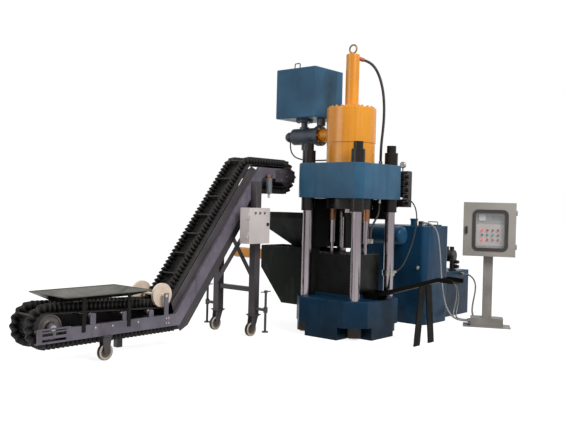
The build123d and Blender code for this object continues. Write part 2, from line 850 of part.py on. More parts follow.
# Prefill valve: round body on the stub's flange, with a ball-ended actuator and a drain
valve_left_x = stub_end_x - valve_body_length
neck_left_x = valve_left_x - valve_neck_length

with BuildPart() as prefill_valve:
    crossbar(valve_left_x, stub_end_x, (0, valve_z), valve_body_dia)
    crossbar(stub_end_x - stub_flange_width, stub_end_x, (0, valve_z), stub_flange_dia)
    crossbar(neck_left_x, valve_left_x, (0, valve_z), valve_neck_dia)
    with Locations((neck_left_x, 0, valve_z)):
        Sphere(valve_ball_dia / 2)
    upright((fill_pipe_x, 0), valve_z, valve_top, valve_boss_dia)
    upright((fill_pipe_x, 0), valve_z - valve_body_dia / 2 - drain_length, valve_z, drain_dia)
    upright((fill_pipe_x, 0), valve_z, valve_top, fill_pipe_dia - 2 * fill_pipe_wall, Mode.SUBTRACT)
    crossbar(fill_pipe_x, stub_end_x, (0, valve_z), stub_bore, Mode.SUBTRACT)
prefill_valve.part.label = "prefill_valve"
export_step(prefill_valve.part, "parts/prefill_valve.step")

# Valve stack: manifold on the crosshead's back, rows of valves with their coils, and a gauge
stack_right_x = stack_x + stack_width
stack_mid_y = stack_face_y + stack_depth / 2
stack_top = stack_low + stack_height
coil_x = stack_right_x + stack_valve_length
gauge_z = stack_top + gauge_stem_length + gauge_dia / 2

with BuildPart() as valve_stack:
    block((stack_x, stack_face_y, stack_low), (stack_right_x, stack_face_y + stack_depth, stack_top))
    for row in range(stack_rows):
        row_low = stack_low + stack_row_gap + row * (stack_row_height + stack_row_gap)
        block((stack_right_x, stack_mid_y - stack_valve_depth / 2, row_low),
              (coil_x, stack_mid_y + stack_valve_depth / 2, row_low + stack_row_height))
        crossbar(coil_x, coil_x + coil_length, (stack_mid_y, row_low + stack_row_height / 2), coil_dia)
    gauge_x = stack_right_x - gauge_dia / 2
    upright((gauge_x, stack_mid_y), stack_top, gauge_z, gauge_stem_dia)
    rod(Plane.XZ.offset(-stack_mid_y), (gauge_x, gauge_z), gauge_dia, gauge_depth)
valve_stack.part.label = "valve_stack"
export_step(valve_stack.part, "parts/valve_stack.step")

# Oil tank: sheet box with rounded corners, open at the top
tank_mid_x = tank_side_x - tank_length / 2
tank_mid_y = tank_front_y + tank_depth / 2


def tank_plan(plane, inset, height, mode=Mode.ADD):
    with BuildSketch(plane) as plan:
        with Locations((tank_mid_x, tank_mid_y)):
            RectangleRounded(tank_length - 2 * inset, tank_depth - 2 * inset, tank_round - inset)
    extrude(plan.sketch, amount=height, mode=mode)


with BuildPart() as oil_tank:
    tank_plan(Plane.XY, 0, tank_height)
    tank_plan(Plane.XY.offset(tank_sheet), tank_sheet, tank_height, Mode.SUBTRACT)
oil_tank.part.label = "oil_tank"
export_step(oil_tank.part, "parts/oil_tank.step")

# Tank lid with a capped breather and a hatch with a bail grip
hatch_top = lid_top + hatch_height
grip_top = hatch_top + hatch_grip_height

with BuildPart() as tank_lid:
    tank_plan(Plane.XY.offset(tank_height), 0, lid_plate)
    upright((breather_x, breather_y), lid_top, lid_top + breather_height, breather_dia)
    upright((breather_x, breather_y), lid_top + breather_height,
            lid_top + breather_height + breather_cap_height, breather_cap_dia)
    block((hatch_x - hatch_length / 2, hatch_y - hatch_width / 2, lid_top),
          (hatch_x + hatch_length / 2, hatch_y + hatch_width / 2, hatch_top))
    grip_ends = (hatch_x - hatch_grip_length / 2, hatch_x + hatch_grip_length / 2)
    with BuildLine() as grip_line:
        FilletPolyline((grip_ends[0], hatch_y, hatch_top), (grip_ends[0], hatch_y, grip_top),
                       (grip_ends[1], hatch_y, grip_top), (grip_ends[1], hatch_y, hatch_top),
                       radius=hatch_bar_dia)
    with BuildSketch(Plane.XY.offset(hatch_top)) as grip_section:
        with Locations((grip_ends[0], hatch_y)):
            Circle(hatch_bar_dia / 2)
    sweep(grip_section.sketch, path=grip_line.line)
tank_lid.part.label = "tank_lid"
export_step(tank_lid.part, "parts/tank_lid.step")

# Oil cooler: domed shell along X in front of the tank, on two brackets
cooler_plane = Plane((0, cooler_y, cooler_z), x_dir=(1, 0, 0), z_dir=(0, 0, 1))
cooler_axis = Axis((0, cooler_y, cooler_z), (1, 0, 0))


def cooler_form(wall, mode):
    radius = cooler_dia / 2 - wall
    with BuildSketch(cooler_plane) as half:
        with BuildLine():
            Polyline((cooler_right_x + cooler_dome - wall, 0), (cooler_left_x + wall, 0),
                     (cooler_left_x + wall, radius), (cooler_right_x, radius))
            EllipticalCenterArc((cooler_right_x, 0), cooler_dome - wall, radius, arc_size=90)
        make_face()
    revolve(half.sketch, axis=cooler_axis, mode=mode)


with BuildPart() as oil_cooler:
    cooler_form(0, Mode.ADD)
    port_places = [(cooler_left_x + cooler_foot, cooler_y), (cooler_right_x - cooler_foot, cooler_y)]
    for bracket_x, _ in port_places:
        block((bracket_x - cooler_bracket / 2, cooler_y, cooler_z - cooler_bracket_height / 2),
              (bracket_x + cooler_bracket / 2, tank_front_y, cooler_z + cooler_bracket_height / 2))
    for place in port_places:
        upright(place, cooler_z, cooler_z + cooler_dia / 2 + cooler_port_length, cooler_port_dia)
    cooler_form(cooler_wall, Mode.SUBTRACT)
    for place in port_places:
        upright(place, cooler_z, cooler_z + cooler_dia / 2 + cooler_port_length, cooler_port_bore,
                Mode.SUBTRACT)
oil_cooler.part.label = "oil_cooler"
export_step(oil_cooler.part, "parts/oil_cooler.step")

# Pump plinth: folded box, open underneath
plinth_left_x = plinth_side_x - plinth_length
plinth_front_y = tank_front_y + tank_depth + plinth_gap
plinth_back_y = plinth_front_y + plinth_depth

with BuildPart() as pump_plinth:
    block((plinth_left_x, plinth_front_y, 0), (plinth_side_x, plinth_back_y, plinth_height))
    block((plinth_left_x + plinth_sheet, plinth_front_y + plinth_sheet, 0),
          (plinth_side_x - plinth_sheet, plinth_back_y - plinth_sheet, plinth_height - plinth_sheet),
          Mode.SUBTRACT)
pump_plinth.part.label = "pump_plinth"
export_step(pump_plinth.part, "parts/pump_plinth.step")

# Motor, bell housing and pump, flanged together on the plinth
motor_right_x = motor_left_x + motor_length
bell_right_x = motor_right_x + bell_length
pump_right_x = bell_right_x + pump_length
motor_mid_x = (motor_left_x + motor_right_x) / 2
pump_mid_x = bell_right_x + pump_length / 2
motor_place = (motor_y, motor_z)

with BuildPart() as motor_pump:
    crossbar(motor_left_x, motor_right_x, motor_place, motor_dia)
    block((motor_mid_x - motor_foot_length / 2, motor_y - motor_foot_width / 2, plinth_height),
          (motor_mid_x + motor_foot_length / 2, motor_y + motor_foot_width / 2, motor_z))
    with Locations((motor_mid_x, motor_y, motor_z + motor_dia / 2 + motor_box[2] / 2 - edge_break)):
        Box(*motor_box)
    crossbar(motor_right_x, bell_right_x, motor_place, bell_dia)
    crossbar(bell_right_x, pump_right_x, motor_place, pump_dia)
    for port_x in (pump_mid_x - pump_port_pitch / 2, pump_mid_x + pump_port_pitch / 2):
        upright((port_x, motor_y), motor_z, motor_z + pump_dia / 2 + pump_port_height, pump_port_dia)
motor_pump.part.label = "motor_pump"
export_step(motor_pump.part, "parts/motor_pump.step")

# Pedestal, cabinet and door are drawn square to the cabinet's front: X across, Y into it
pedestal_angle = math.radians(pedestal_turn)
pedestal_plane = Plane((pedestal_x, pedestal_y, 0),
                       x_dir=(math.cos(pedestal_angle), math.sin(pedestal_angle), 0), z_dir=(0, 0, 1))
post_y = channel_front + channel_depth / 2
channel_top = foot_plate + channel_height
case_top = case_low + case_height
case_half = case_width / 2


def front_rod(plane_y, place, diameter, length, mode=Mode.ADD):
    with Locations(Location((place[0], plane_y + length / 2, place[1]), (90, 0, 0))):
        Cylinder(diameter / 2, length, mode=mode)


# Pedestal: foot plate, inverted channel and square post
with BuildPart(pedestal_plane) as cabinet_pedestal:
    block((-foot_width / 2, 0, 0), (foot_width / 2, foot_depth, foot_plate))
    block((-channel_width / 2, channel_front, foot_plate),
          (channel_width / 2, channel_front + channel_depth, channel_top))
    block((-channel_width / 2 + channel_sheet, channel_front + channel_sheet, 0),
          (channel_width / 2 - channel_sheet, channel_front + channel_depth - channel_sheet,
           channel_top - channel_sheet), Mode.SUBTRACT)
    block((-post_side / 2, post_y - post_side / 2, channel_top),
          (post_side / 2, post_y + post_side / 2, case_low))
    block((-post_side / 2 + post_wall, post_y - post_side / 2 + post_wall, channel_top),
          (post_side / 2 - post_wall, post_y + post_side / 2 - post_wall, case_low), Mode.SUBTRACT)
cabinet_pedestal.part.label = "cabinet_pedestal"
export_step(cabinet_pedestal.part, "parts/cabinet_pedestal.step")

# Cabinet case: open-fronted box with the fixed halves of two hinges and their pins
hinge_x = case_half + hinge_out
hinge_y = -door_depth / 2
hinge_lows = [case_low + hinge_inset, case_top - hinge_inset - 2 * hinge_knuckle]

with BuildPart(pedestal_plane) as cabinet_case:
    block((-case_half, 0, case_low), (case_half, case_depth, case_top))
    block((-case_half + case_sheet, 0, case_low + case_sheet),
          (case_half - case_sheet, case_depth - case_sheet, case_top - case_sheet), Mode.SUBTRACT)
    for low in hinge_lows:
        with Locations((hinge_x, hinge_y, low + hinge_knuckle / 2)):
            Cylinder(hinge_dia / 2, hinge_knuckle)
        with Locations((hinge_x, hinge_y, low + hinge_knuckle)):
            Cylinder(hinge_pin_dia / 2, hinge_knuckle)
        block((case_half, hinge_y, low), (hinge_x + hinge_dia / 2, hinge_inset / 2, low + hinge_knuckle))
cabinet_case.part.label = "cabinet_case"
export_step(cabinet_case.part, "parts/cabinet_case.step")

# Cabinet door: folded pan with a rounded window and its halves of the hinges
window_z = case_low + window_up
handle_z = case_low + handle_up
door_back = -run_gap
door_front = door_back - door_depth


def rounded_slab(width, height, radius, low_y, high_y, mode=Mode.ADD):
    slab_plane = Plane(pedestal_plane.from_local_coords((window_across, low_y, window_z)),
                       x_dir=pedestal_plane.x_dir, z_dir=pedestal_plane.y_dir)
    with BuildSketch(slab_plane) as slab:
        RectangleRounded(width, height, radius)
    extrude(slab.sketch, amount=high_y - low_y, mode=mode)


with BuildPart(pedestal_plane) as cabinet_door:
    block((-case_half, door_front, case_low), (case_half, door_back, case_top))
    block((-case_half + door_sheet, door_front + door_sheet, case_low + door_sheet),
          (case_half - door_sheet, door_back, case_top - door_sheet), Mode.SUBTRACT)
    for low in hinge_lows:
        door_low = low + hinge_knuckle + run_gap
        with Locations((hinge_x, hinge_y, door_low + hinge_knuckle / 2)):
            Cylinder(hinge_dia / 2, hinge_knuckle)
        block((case_half - door_sheet, door_front, door_low), (hinge_x, hinge_y, door_low + hinge_knuckle))
        with Locations((hinge_x, hinge_y, door_low + hinge_knuckle / 2)):
            Cylinder(hinge_pin_dia / 2 + shaft_gap, hinge_knuckle, mode=Mode.SUBTRACT)
    front_rod(door_front, (handle_across, handle_z), handle_shaft_dia + 2 * shaft_gap, door_depth,
              Mode.SUBTRACT)
    rounded_slab(window_width, window_height, window_round, door_front, door_back, Mode.SUBTRACT)
cabinet_door.part.label = "cabinet_door"
export_step(cabinet_door.part, "parts/cabinet_door.step")

# Door window: rubber gasket on the door's front and the clear pane behind it
with BuildPart() as door_window:
    rounded_slab(window_width + 2 * gasket_width, window_height + 2 * gasket_width,
                 window_round + gasket_width, door_front - gasket_proud, door_front)
    rounded_slab(window_width - gasket_width, window_height - gasket_width, window_round - gasket_width / 2,
                 door_front - gasket_proud, door_front, Mode.SUBTRACT)
    rounded_slab(window_width - 2 * pane_gap, window_height - 2 * pane_gap, window_round - pane_gap,
                 door_front, door_front + pane_thickness)
door_window.part.label = "door_window"
export_step(door_window.part, "parts/door_window.step")

# Door handle: oblong lock lever on a round shaft through the door
with BuildPart(pedestal_plane) as door_handle:
    lever_back = door_front - handle_stand_off
    block((handle_across - handle_width / 2, lever_back - handle_depth, handle_z - handle_height / 2),
          (handle_across + handle_width / 2, lever_back, handle_z + handle_height / 2))
    lever_axis = Axis(pedestal_plane.origin, pedestal_plane.y_dir)
    fillet(door_handle.edges().filter_by(lever_axis), handle_width * handle_round_share)
    front_rod(lever_back, (handle_across, handle_z), handle_shaft_dia, handle_stand_off + door_depth)
door_handle.part.label = "door_handle"
export_step(door_handle.part, "parts/door_handle.step")

# Button panel: inner plate with the button plate, lamps, meter and a blank plate
panel_front = panel_depth - button_plate_thickness
button_mid_z = case_low + button_plate_up
button_middle = (button_count - 1) / 2
button_columns = [window_across + (column - button_middle) * button_pitch_across
                  for column in range(button_count)]
lamp_rows = [button_mid_z + button_pitch_up, button_mid_z - button_pitch_up]
panel_half = case_half - case_sheet - fit_gap


def plate_on_panel(across, up, width, height, thickness):
    block((across - width / 2, panel_depth - thickness, up - height / 2),
          (across + width / 2, panel_depth, up + height / 2))


with BuildPart(pedestal_plane) as button_panel:
    block((-panel_half, panel_depth, case_low + case_sheet + fit_gap),
          (panel_half, panel_depth + panel_plate, case_top - case_sheet - fit_gap))
    plate_on_panel(window_across, button_mid_z, button_plate_width, button_plate_height,
                   button_plate_thickness)
    plate_on_panel(meter_across, case_low + meter_up, meter_side, meter_side, meter_depth)
    plate_on_panel(blank_across, case_low + blank_up, blank_width, blank_height, blank_thickness)
    for across in button_columns:
        for up in lamp_rows:
            front_rod(panel_front - lamp_height, (across, up), lamp_dia, lamp_height)
        front_rod(panel_front, (across, button_mid_z), button_stem_dia + 2 * run_gap,
                  button_plate_thickness + panel_plate, Mode.SUBTRACT)
button_panel.part.label = "button_panel"
export_step(button_panel.part, "parts/button_panel.step")

# Push buttons: cap and stem, free to travel into the panel
for number, across in enumerate(button_columns, 1):
    with BuildPart(pedestal_plane) as push_button:
        cap_back = panel_front - button_rise
        front_rod(cap_back - button_cap, (across, button_mid_z), button_dia, button_cap)
        front_rod(cap_back, (across, button_mid_z), button_stem_dia, button_stem_length)
    push_button.part.label = f"push_button_{number}"
    export_step(push_button.part, f"parts/push_button_{number}.step")

# Conveyor line: the drums' axes and the bends between them, as (Y, Z)
low_bend = Vector(low_bend_y, tail_z)
high_bend = Vector(high_bend_y, head_z)
slope = high_bend - low_bend
slope_angle = math.atan2(slope.Y, slope.X)
bend_reach = (drum_radius + belt_thickness + disc_dia / 2 + 2 * drum_gap) / math.cos(slope_angle / 2)
bend_normal = Vector(-math.sin(slope_angle / 2), math.cos(slope_angle / 2))
disc_place = Vector(disc_y, disc_z)
return_bend = high_bend - bend_normal * bend_reach
drum_turn = drum_radius + drum_gap
disc_turn = -(disc_dia / 2 + drum_gap + belt_thickness)

# Each turn of the belt's inner face: centre and radius, negative where the belt bends backwards
belt_turns = [
    (Vector(tail_y, tail_z), drum_turn), (disc_place, disc_turn), (high_bend, drum_turn),
    (Vector(head_y, head_z), drum_turn), (return_bend, disc_turn), (low_bend, drum_turn),
]


def belt_loop(growth):
    turns = [(centre, radius + growth) for centre, radius in belt_turns]
    normals = []
    for (centre, radius), (next_centre, next_radius) in zip(turns, turns[1:] + turns[:1]):
        span = next_centre - centre
        heading = math.atan2(span.Y, span.X) - math.asin((radius - next_radius) / span.length)
        normals.append(heading + math.pi / 2)
    ends = []
    for (centre, radius), arrive, leave in zip(turns, normals[-1:] + normals[:-1], normals):
        turn = (arrive - leave) % (2 * math.pi) if radius > 0 else -((leave - arrive) % (2 * math.pi))
        rim = [centre + Vector(math.cos(angle), math.sin(angle)) * radius
               for angle in (arrive, arrive - turn / 2, leave)]
        ThreePointArc(*rim)
        ends.append(rim)
    for rim, next_rim in zip(ends, ends[1:] + ends[:1]):
        Line(rim[-1], next_rim[0])


def belt_slab(low_x, width, inner, outer):
    with BuildSketch(Plane.YZ.offset(low_x)) as slab:
        with BuildLine():
            belt_loop(outer)
        make_face()
        with BuildLine():
            belt_loop(inner)
        make_face(mode=Mode.SUBTRACT)
    extrude(slab.sketch, amount=width)


# Conveyor belt: plain band with two upright sidewalls
with BuildPart() as conveyor_belt:
    belt_slab(conveyor_x - drum_half, belt_width, 0, belt_thickness)
    for side in (-1, 1):
        wall_x = conveyor_x + side * wall_spread / 2 - wall_thickness / 2
        belt_slab(wall_x, wall_thickness, belt_thickness, belt_thickness + wall_height)
conveyor_belt.part.label = "conveyor_belt"
export_step(conveyor_belt.part, "parts/conveyor_belt.step")

# Drums: recessed shells on their shafts, the head shaft longer on the gear motor's side
boss_face = rail_half + bearing_plate + bearing_boss_depth
drum_recess = drum_half - drum_web / 2


def drum(place, near_reach, far_reach):
    crossbar(conveyor_x - drum_half, conveyor_x + drum_half, place, drum_dia)
    for face_x, depth in ((conveyor_x - drum_half, drum_recess), (conveyor_x + drum_half, -drum_recess)):
        with BuildSketch(Plane.YZ.offset(face_x)) as recess:
            with Locations(place):
                Circle(drum_radius - drum_shell)
                Circle(drum_hub_dia / 2, mode=Mode.SUBTRACT)
        extrude(recess.sketch, amount=depth, mode=Mode.SUBTRACT)
    crossbar(conveyor_x - far_reach, conveyor_x + near_reach, place, drum_shaft_dia)


with BuildPart() as tail_drum:
    drum((tail_y, tail_z), rail_half, rail_half)
tail_drum.part.label = "tail_drum"
export_step(tail_drum.part, "parts/tail_drum.step")

with BuildPart() as head_drum:
    drum((head_y, head_z), boss_face, boss_face + gear_shaft_depth)
head_drum.part.label = "head_drum"
export_step(head_drum.part, "parts/head_drum.step")

# Deflection discs: two discs on one axle, holding the belt's edges down in the lower bend
disc_axle_half = rail_half
disc_axis = (disc_y, disc_z)

with BuildPart() as deflection_discs:
    for side in (-1, 1):
        disc_x = conveyor_x + side * disc_spread / 2
        crossbar(disc_x - disc_thickness / 2, disc_x + disc_thickness / 2, disc_axis, disc_dia)
    crossbar(conveyor_x - disc_axle_half, conveyor_x + disc_axle_half, disc_axis, disc_axle_dia)
deflection_discs.part.label = "deflection_discs"
export_step(deflection_discs.part, "parts/deflection_discs.step")

# Conveyor frame: two bent channel rails, tie tubes, bearing plates and posts for the discs
rail_points = [
    Vector(tail_y - rail_tail_over, tail_z - rail_low_drop),
    Vector(low_bend_y + rail_low_shift, tail_z - rail_low_drop),
    Vector(high_bend_y + rail_high_shift, head_z + rail_high_rise),
    Vector(head_y - rail_head_short, head_z + rail_high_rise),
]


def rail_edge(offset, tail_end):
    lift = Vector(0, offset)
    rail_slope = rail_points[2] - rail_points[1]
    bisector = math.atan2(rail_slope.Y, rail_slope.X) / 2
    corner = Vector(-math.sin(bisector), math.cos(bisector)) * (offset / math.cos(bisector))
    return [tail_end + lift, rail_points[1] + corner, rail_points[2] + corner, rail_points[3] + lift]


def rail_strip(low_x, width, low, high, tail_end):
    outline = [*rail_edge(high, tail_end), *reversed(rail_edge(low, tail_end))]
    with BuildSketch(Plane.YZ.offset(low_x)) as strip:
        Polygon(*[(point.X, point.Y) for point in outline], align=None)
    extrude(strip.sketch, amount=width)


def along(start, end, share):
    place = start + (end - start) * share
    return (place.X, place.Y)


tie_places = [along(rail_points[0], rail_points[1], share) for share in low_tie_shares]
tie_places += [along(rail_points[1], rail_points[2], share) for share in slope_tie_shares]
tie_places += [along(rail_points[2], rail_points[3], share) for share in high_tie_shares]
plate_half = bearing_plate_height / 2
rail_low_z = tail_z - rail_low_drop
tail_plate_high_y = tail_y + tail_plate_back
tail_plate_top = tail_z + tail_plate_rise

with BuildPart() as conveyor_frame:
    for side in (-1, 1):
        web_x = conveyor_x + side * rail_half - (rail_wall if side > 0 else 0)
        flange_x = conveyor_x + side * rail_half - (rail_flange if side > 0 else 0)
        tail_end = Vector(tail_y - (rail_tail_over if side > 0 else rail_far_over), rail_low_z)
        tail_plate_low_y = tail_end.X
        tail_plate_mid_y = (tail_plate_low_y + tail_plate_high_y) / 2
        rail_strip(web_x, rail_wall, -rail_depth / 2, rail_depth / 2, tail_end)
        rail_strip(flange_x, rail_flange, rail_depth / 2 - rail_wall, rail_depth / 2, tail_end)
        rail_strip(flange_x, rail_flange, -rail_depth / 2, -rail_depth / 2 + rail_wall, tail_end)
        plate_x = conveyor_x + side * rail_half - (0 if side > 0 else bearing_plate)
        boss_x = plate_x + (bearing_plate if side > 0 else -bearing_boss_depth)
        block((plate_x, head_y - head_plate_back, head_z - plate_half),
              (plate_x + bearing_plate, head_y + bearing_front, head_z + plate_half))
        crossbar(boss_x, boss_x + bearing_boss_depth, (head_y, head_z), bearing_boss_dia)
        block((plate_x, tail_plate_low_y, tail_z - tail_plate_drop),
              (plate_x + bearing_plate, tail_plate_high_y, tail_plate_top))
        tail_boss_x = conveyor_x + side * rail_half - (tail_boss_depth if side > 0 else 0)
        crossbar(tail_boss_x, tail_boss_x + tail_boss_depth, (tail_y, tail_z), tail_boss_dia)
        for drop, height in slot_rows:
            block((min(plate_x, web_x), tail_plate_low_y + slot_end, tail_plate_top - drop - height),
                  (max(plate_x + bearing_plate, web_x + rail_wall), tail_plate_high_y - slot_end,
                   tail_plate_top - drop), Mode.SUBTRACT)
        low_drop, low_height = slot_rows[1]
        block((plate_x, tail_plate_mid_y - slot_divider / 2, tail_plate_top - low_drop - low_height),
              (plate_x + bearing_plate, tail_plate_mid_y + slot_divider / 2, tail_plate_top - low_drop))
        for place, reach in (((tail_y, tail_z), rail_half), ((head_y, head_z), boss_face)):
            bore_low, bore_high = sorted((conveyor_x + side * drum_half, conveyor_x + side * reach))
            crossbar(bore_low, bore_high, place, drum_shaft_dia + 2 * shaft_gap, Mode.SUBTRACT)
        post_x = conveyor_x + side * rail_half - (disc_post_plate if side > 0 else 0)
        block((post_x, disc_y - disc_post_width / 2, rail_low_z),
              (post_x + disc_post_plate, disc_y + disc_post_width / 2, disc_z + disc_post_width / 2))
        crossbar(post_x, post_x + disc_post_plate, (disc_y, disc_z), disc_axle_dia + 2 * shaft_gap,
                 Mode.SUBTRACT)
    for place in tie_places:
        crossbar(conveyor_x - rail_half + rail_wall, conveyor_x + rail_half - rail_wall, place, tie_dia)
conveyor_frame.part.label = "conveyor_frame"
export_step(conveyor_frame.part, "parts/conveyor_frame.step")

# Loading tray: shallow sheet funnel over the belt, on four posts
tray_mid_y = (tray_tail_y + tray_head_y) / 2
tray_length = tray_head_y - tray_tail_y
tray_low_z = tray_rim_z - tray_lip


def tray_form(inset, drop, mode):
    with BuildSketch(Plane.XY.offset(tray_low_z - drop)) as wide:
        with Locations((conveyor_x, tray_mid_y)):
            Rectangle(2 * tray_half_width - 2 * inset, tray_length - 2 * inset)
    with BuildSketch(Plane.XY.offset(tray_out_z - drop)) as narrow:
        with Locations((conveyor_x, tray_mid_y)):
            Rectangle(2 * tray_out_half_width, tray_length - 2 * tray_out_inset)
    loft([narrow.sketch, wide.sketch], mode=mode)
    extrude(wide.sketch, amount=tray_lip + drop, mode=mode)


tray_post_x = rail_half + tray_post_plate / 2
tray_slope = (tray_low_z - tray_out_z) / (tray_half_width - tray_out_half_width)
tray_post_top = tray_out_z - tray_sheet + (tray_post_x - tray_out_half_width) * tray_slope

with BuildPart() as loading_tray:
    tray_form(0, tray_sheet, Mode.ADD)
    tray_form(tray_sheet, 0, Mode.SUBTRACT)
    block((conveyor_x - tray_out_half_width, tray_tail_y + tray_out_inset, tray_out_z - tray_sheet),
          (conveyor_x + tray_out_half_width, tray_head_y - tray_out_inset, tray_out_z), Mode.SUBTRACT)
    for side in (-1, 1):
        for post_y_mid in (tray_tail_y + tray_post_inset, tray_head_y - tray_post_inset):
            low_x = conveyor_x + side * tray_post_x - tray_post_plate / 2
            block((low_x, post_y_mid - tray_post_width / 2, rail_low_z),
                  (low_x + tray_post_plate, post_y_mid + tray_post_width / 2, tray_post_top + tray_sheet))
loading_tray.part.label = "loading_tray"
export_step(loading_tray.part, "parts/loading_tray.step")

# Conveyor stand: two square legs, low bar, crossed braces, soles, jack arms, front fork and foot post
leg_half = leg_side / 2
sole_top = castor_height + sole_plate
wheel_radius = wheel_dia / 2
cheek_in = wheel_hub_width / 2 + cheek_gap
jack_x = leg_x + leg_half + jack_out
front_wheel_x = rail_half - rail_flange / 2


def fork(x, y, axle_y, crown_top):
    block((x - crown_side / 2, y - crown_side / 2, crown_top - crown_plate),
          (x + crown_side / 2, y + crown_side / 2, crown_top))
    for side in (-1, 1):
        low_x, high_x = sorted((x + side * cheek_in, x + side * (cheek_in + cheek_plate)))
        with BuildSketch(Plane.YZ.offset(low_x)) as cheek:
            Polygon((y - crown_side / 2, crown_top), (y + crown_side / 2, crown_top),
                    (axle_y + cheek_width / 2, wheel_radius - axle_drop),
                    (axle_y - cheek_width / 2, wheel_radius - axle_drop), align=None)
        extrude(cheek.sketch, amount=high_x - low_x)
    crossbar(x - cheek_in - cheek_plate, x + cheek_in + cheek_plate, (axle_y, wheel_radius), castor_axle_dia)


def wheel(x, axle_y):
    crossbar(x - wheel_width / 2, x + wheel_width / 2, (axle_y, wheel_radius), wheel_dia)
    crossbar(x - wheel_hub_width / 2, x + wheel_hub_width / 2, (axle_y, wheel_radius), wheel_hub_dia)
    crossbar(x - wheel_hub_width / 2, x + wheel_hub_width / 2, (axle_y, wheel_radius),
             castor_axle_dia + 2 * shaft_gap, Mode.SUBTRACT)


def brace(y, low_point, high_point):
    run = Vector(*high_point) - Vector(*low_point)
    across = Vector(-run.Y, run.X).normalized() * (brace_width / 2)
    corners = [Vector(*low_point) + across, Vector(*high_point) + across,
               Vector(*high_point) - across, Vector(*low_point) - across]
    with BuildSketch(Plane.XZ.offset(-y)) as bar:
        Polygon(*[(corner.X, corner.Y) for corner in corners], align=None)
    extrude(bar.sketch, amount=-brace_plate)


with BuildPart() as conveyor_stand:
    for side in (-1, 1):
        x = conveyor_x + side * leg_x
        block((x - leg_half, leg_y - leg_half, sole_top), (x + leg_half, leg_y + leg_half, leg_top))
        block((x - leg_half + leg_wall, leg_y - leg_half + leg_wall, sole_top),
              (x + leg_half - leg_wall, leg_y + leg_half - leg_wall, leg_top - leg_wall), Mode.SUBTRACT)
        block((x - sole_side / 2, leg_y - sole_side / 2, castor_height),
              (x + sole_side / 2, leg_y + sole_side / 2, sole_top))
        upright((x, leg_y), castor_height, sole_top, kingpin_dia + 2 * shaft_gap, Mode.SUBTRACT)
        arm_low, arm_high = sorted((x + side * leg_half, conveyor_x + side * jack_x))
        arm_z = sleeve_low + sleeve_height / 2
        block((arm_low, leg_y - arm_width / 2, arm_z - arm_height / 2),
              (arm_high, leg_y + arm_width / 2, arm_z + arm_height / 2))
        sleeve_place = (conveyor_x + side * jack_x, leg_y)
        upright(sleeve_place, sleeve_low, sleeve_low + sleeve_height, sleeve_dia)
        upright(sleeve_place, sleeve_low, sleeve_low + sleeve_height, jack_screw_dia + 2 * shaft_gap,
                Mode.SUBTRACT)
    fork(conveyor_x + front_wheel_x, front_wheel_y, front_wheel_y, rail_low_z - rail_depth / 2)
    block((conveyor_x - front_wheel_x - foot_post_side / 2, foot_post_y - foot_post_side / 2, 0),
          (conveyor_x - front_wheel_x + foot_post_side / 2, foot_post_y + foot_post_side / 2,
           rail_low_z - rail_depth / 2))
    block((conveyor_x - leg_x + leg_half, leg_y - low_bar_side / 2, low_bar_z - low_bar_side / 2),
          (conveyor_x + leg_x - leg_half, leg_y + low_bar_side / 2, low_bar_z + low_bar_side / 2))
    brace(leg_y - leg_half - brace_plate, (conveyor_x - leg_x, brace_low), (conveyor_x + leg_x, brace_high))
    brace(leg_y + leg_half, (conveyor_x + leg_x, brace_low), (conveyor_x - leg_x, brace_high))
conveyor_stand.part.label = "conveyor_stand"
export_step(conveyor_stand.part, "parts/conveyor_stand.step")

# Front wheel under the near rail
with BuildPart() as front_wheel:
    wheel(conveyor_x + front_wheel_x, front_wheel_y)
front_wheel.part.label = "front_wheel"
export_step(front_wheel.part, "parts/front_wheel.step")

# Rear castors: swivel fork with its kingpin, and its wheel
for name, side in (("near", 1), ("far", -1)):
    castor_x = conveyor_x + side * leg_x
    with BuildPart() as swivel_fork:
        fork(castor_x, leg_y, leg_y - castor_trail, castor_height - run_gap)
        upright((castor_x, leg_y), castor_height - run_gap, castor_height + kingpin_length, kingpin_dia)
    swivel_fork.part.label = f"swivel_fork_{name}"
    export_step(swivel_fork.part, f"parts/swivel_fork_{name}.step")
    with BuildPart() as rear_wheel:
        wheel(castor_x, leg_y - castor_trail)
    rear_wheel.part.label = f"rear_wheel_{name}"
    export_step(rear_wheel.part, f"parts/rear_wheel_{name}.step")

# Screw jacks: foot, screw and crossbar
for name, side in (("near", 1), ("far", -1)):
    place = (conveyor_x + side * jack_x, leg_y)
    hub_top = jack_top_z + jack_hub_height
    with BuildPart() as jack:
        upright(place, jack_foot_z, jack_foot_z + jack_foot_height, jack_foot_dia)
        upright(place, jack_foot_z, hub_top, jack_screw_dia)
        upright(place, jack_top_z, hub_top, jack_hub_dia)
        rod(Plane.XZ.offset(-leg_y + jack_bar_length / 2), (place[0], jack_top_z + jack_hub_height / 2),
            jack_bar_dia, -jack_bar_length)
    jack.part.label = f"jack_{name}"
    export_step(jack.part, f"parts/jack_{name}.step")

# Gear motor: gearbox on the far end of the head shaft, motor hanging below it
gear_right_x = conveyor_x - boss_face
gear_left_x = gear_right_x - gear_width
gear_half = gear_side / 2
gear_mid_x = (gear_left_x + gear_right_x) / 2

with BuildPart() as gear_motor:
    block((gear_left_x, head_y - gear_half, head_z - gear_half), (gear_right_x, head_y + gear_half,
                                                                  head_z + gear_half))
    fillet(gear_motor.edges().filter_by(Axis.X), gear_half * gear_round_share)
    motor_low = head_z - gear_half - gear_motor_length
    upright((gear_mid_x, head_y), motor_low, head_z - gear_half, gear_motor_dia)
    upright((gear_mid_x, head_y), motor_low - gear_fan_length, motor_low, gear_fan_dia)
    crossbar(gear_right_x - gear_shaft_depth - overrun, gear_right_x, (head_y, head_z),
             drum_shaft_dia + 2 * shaft_gap, Mode.SUBTRACT)
gear_motor.part.label = "gear_motor"
export_step(gear_motor.part, "parts/gear_motor.step")

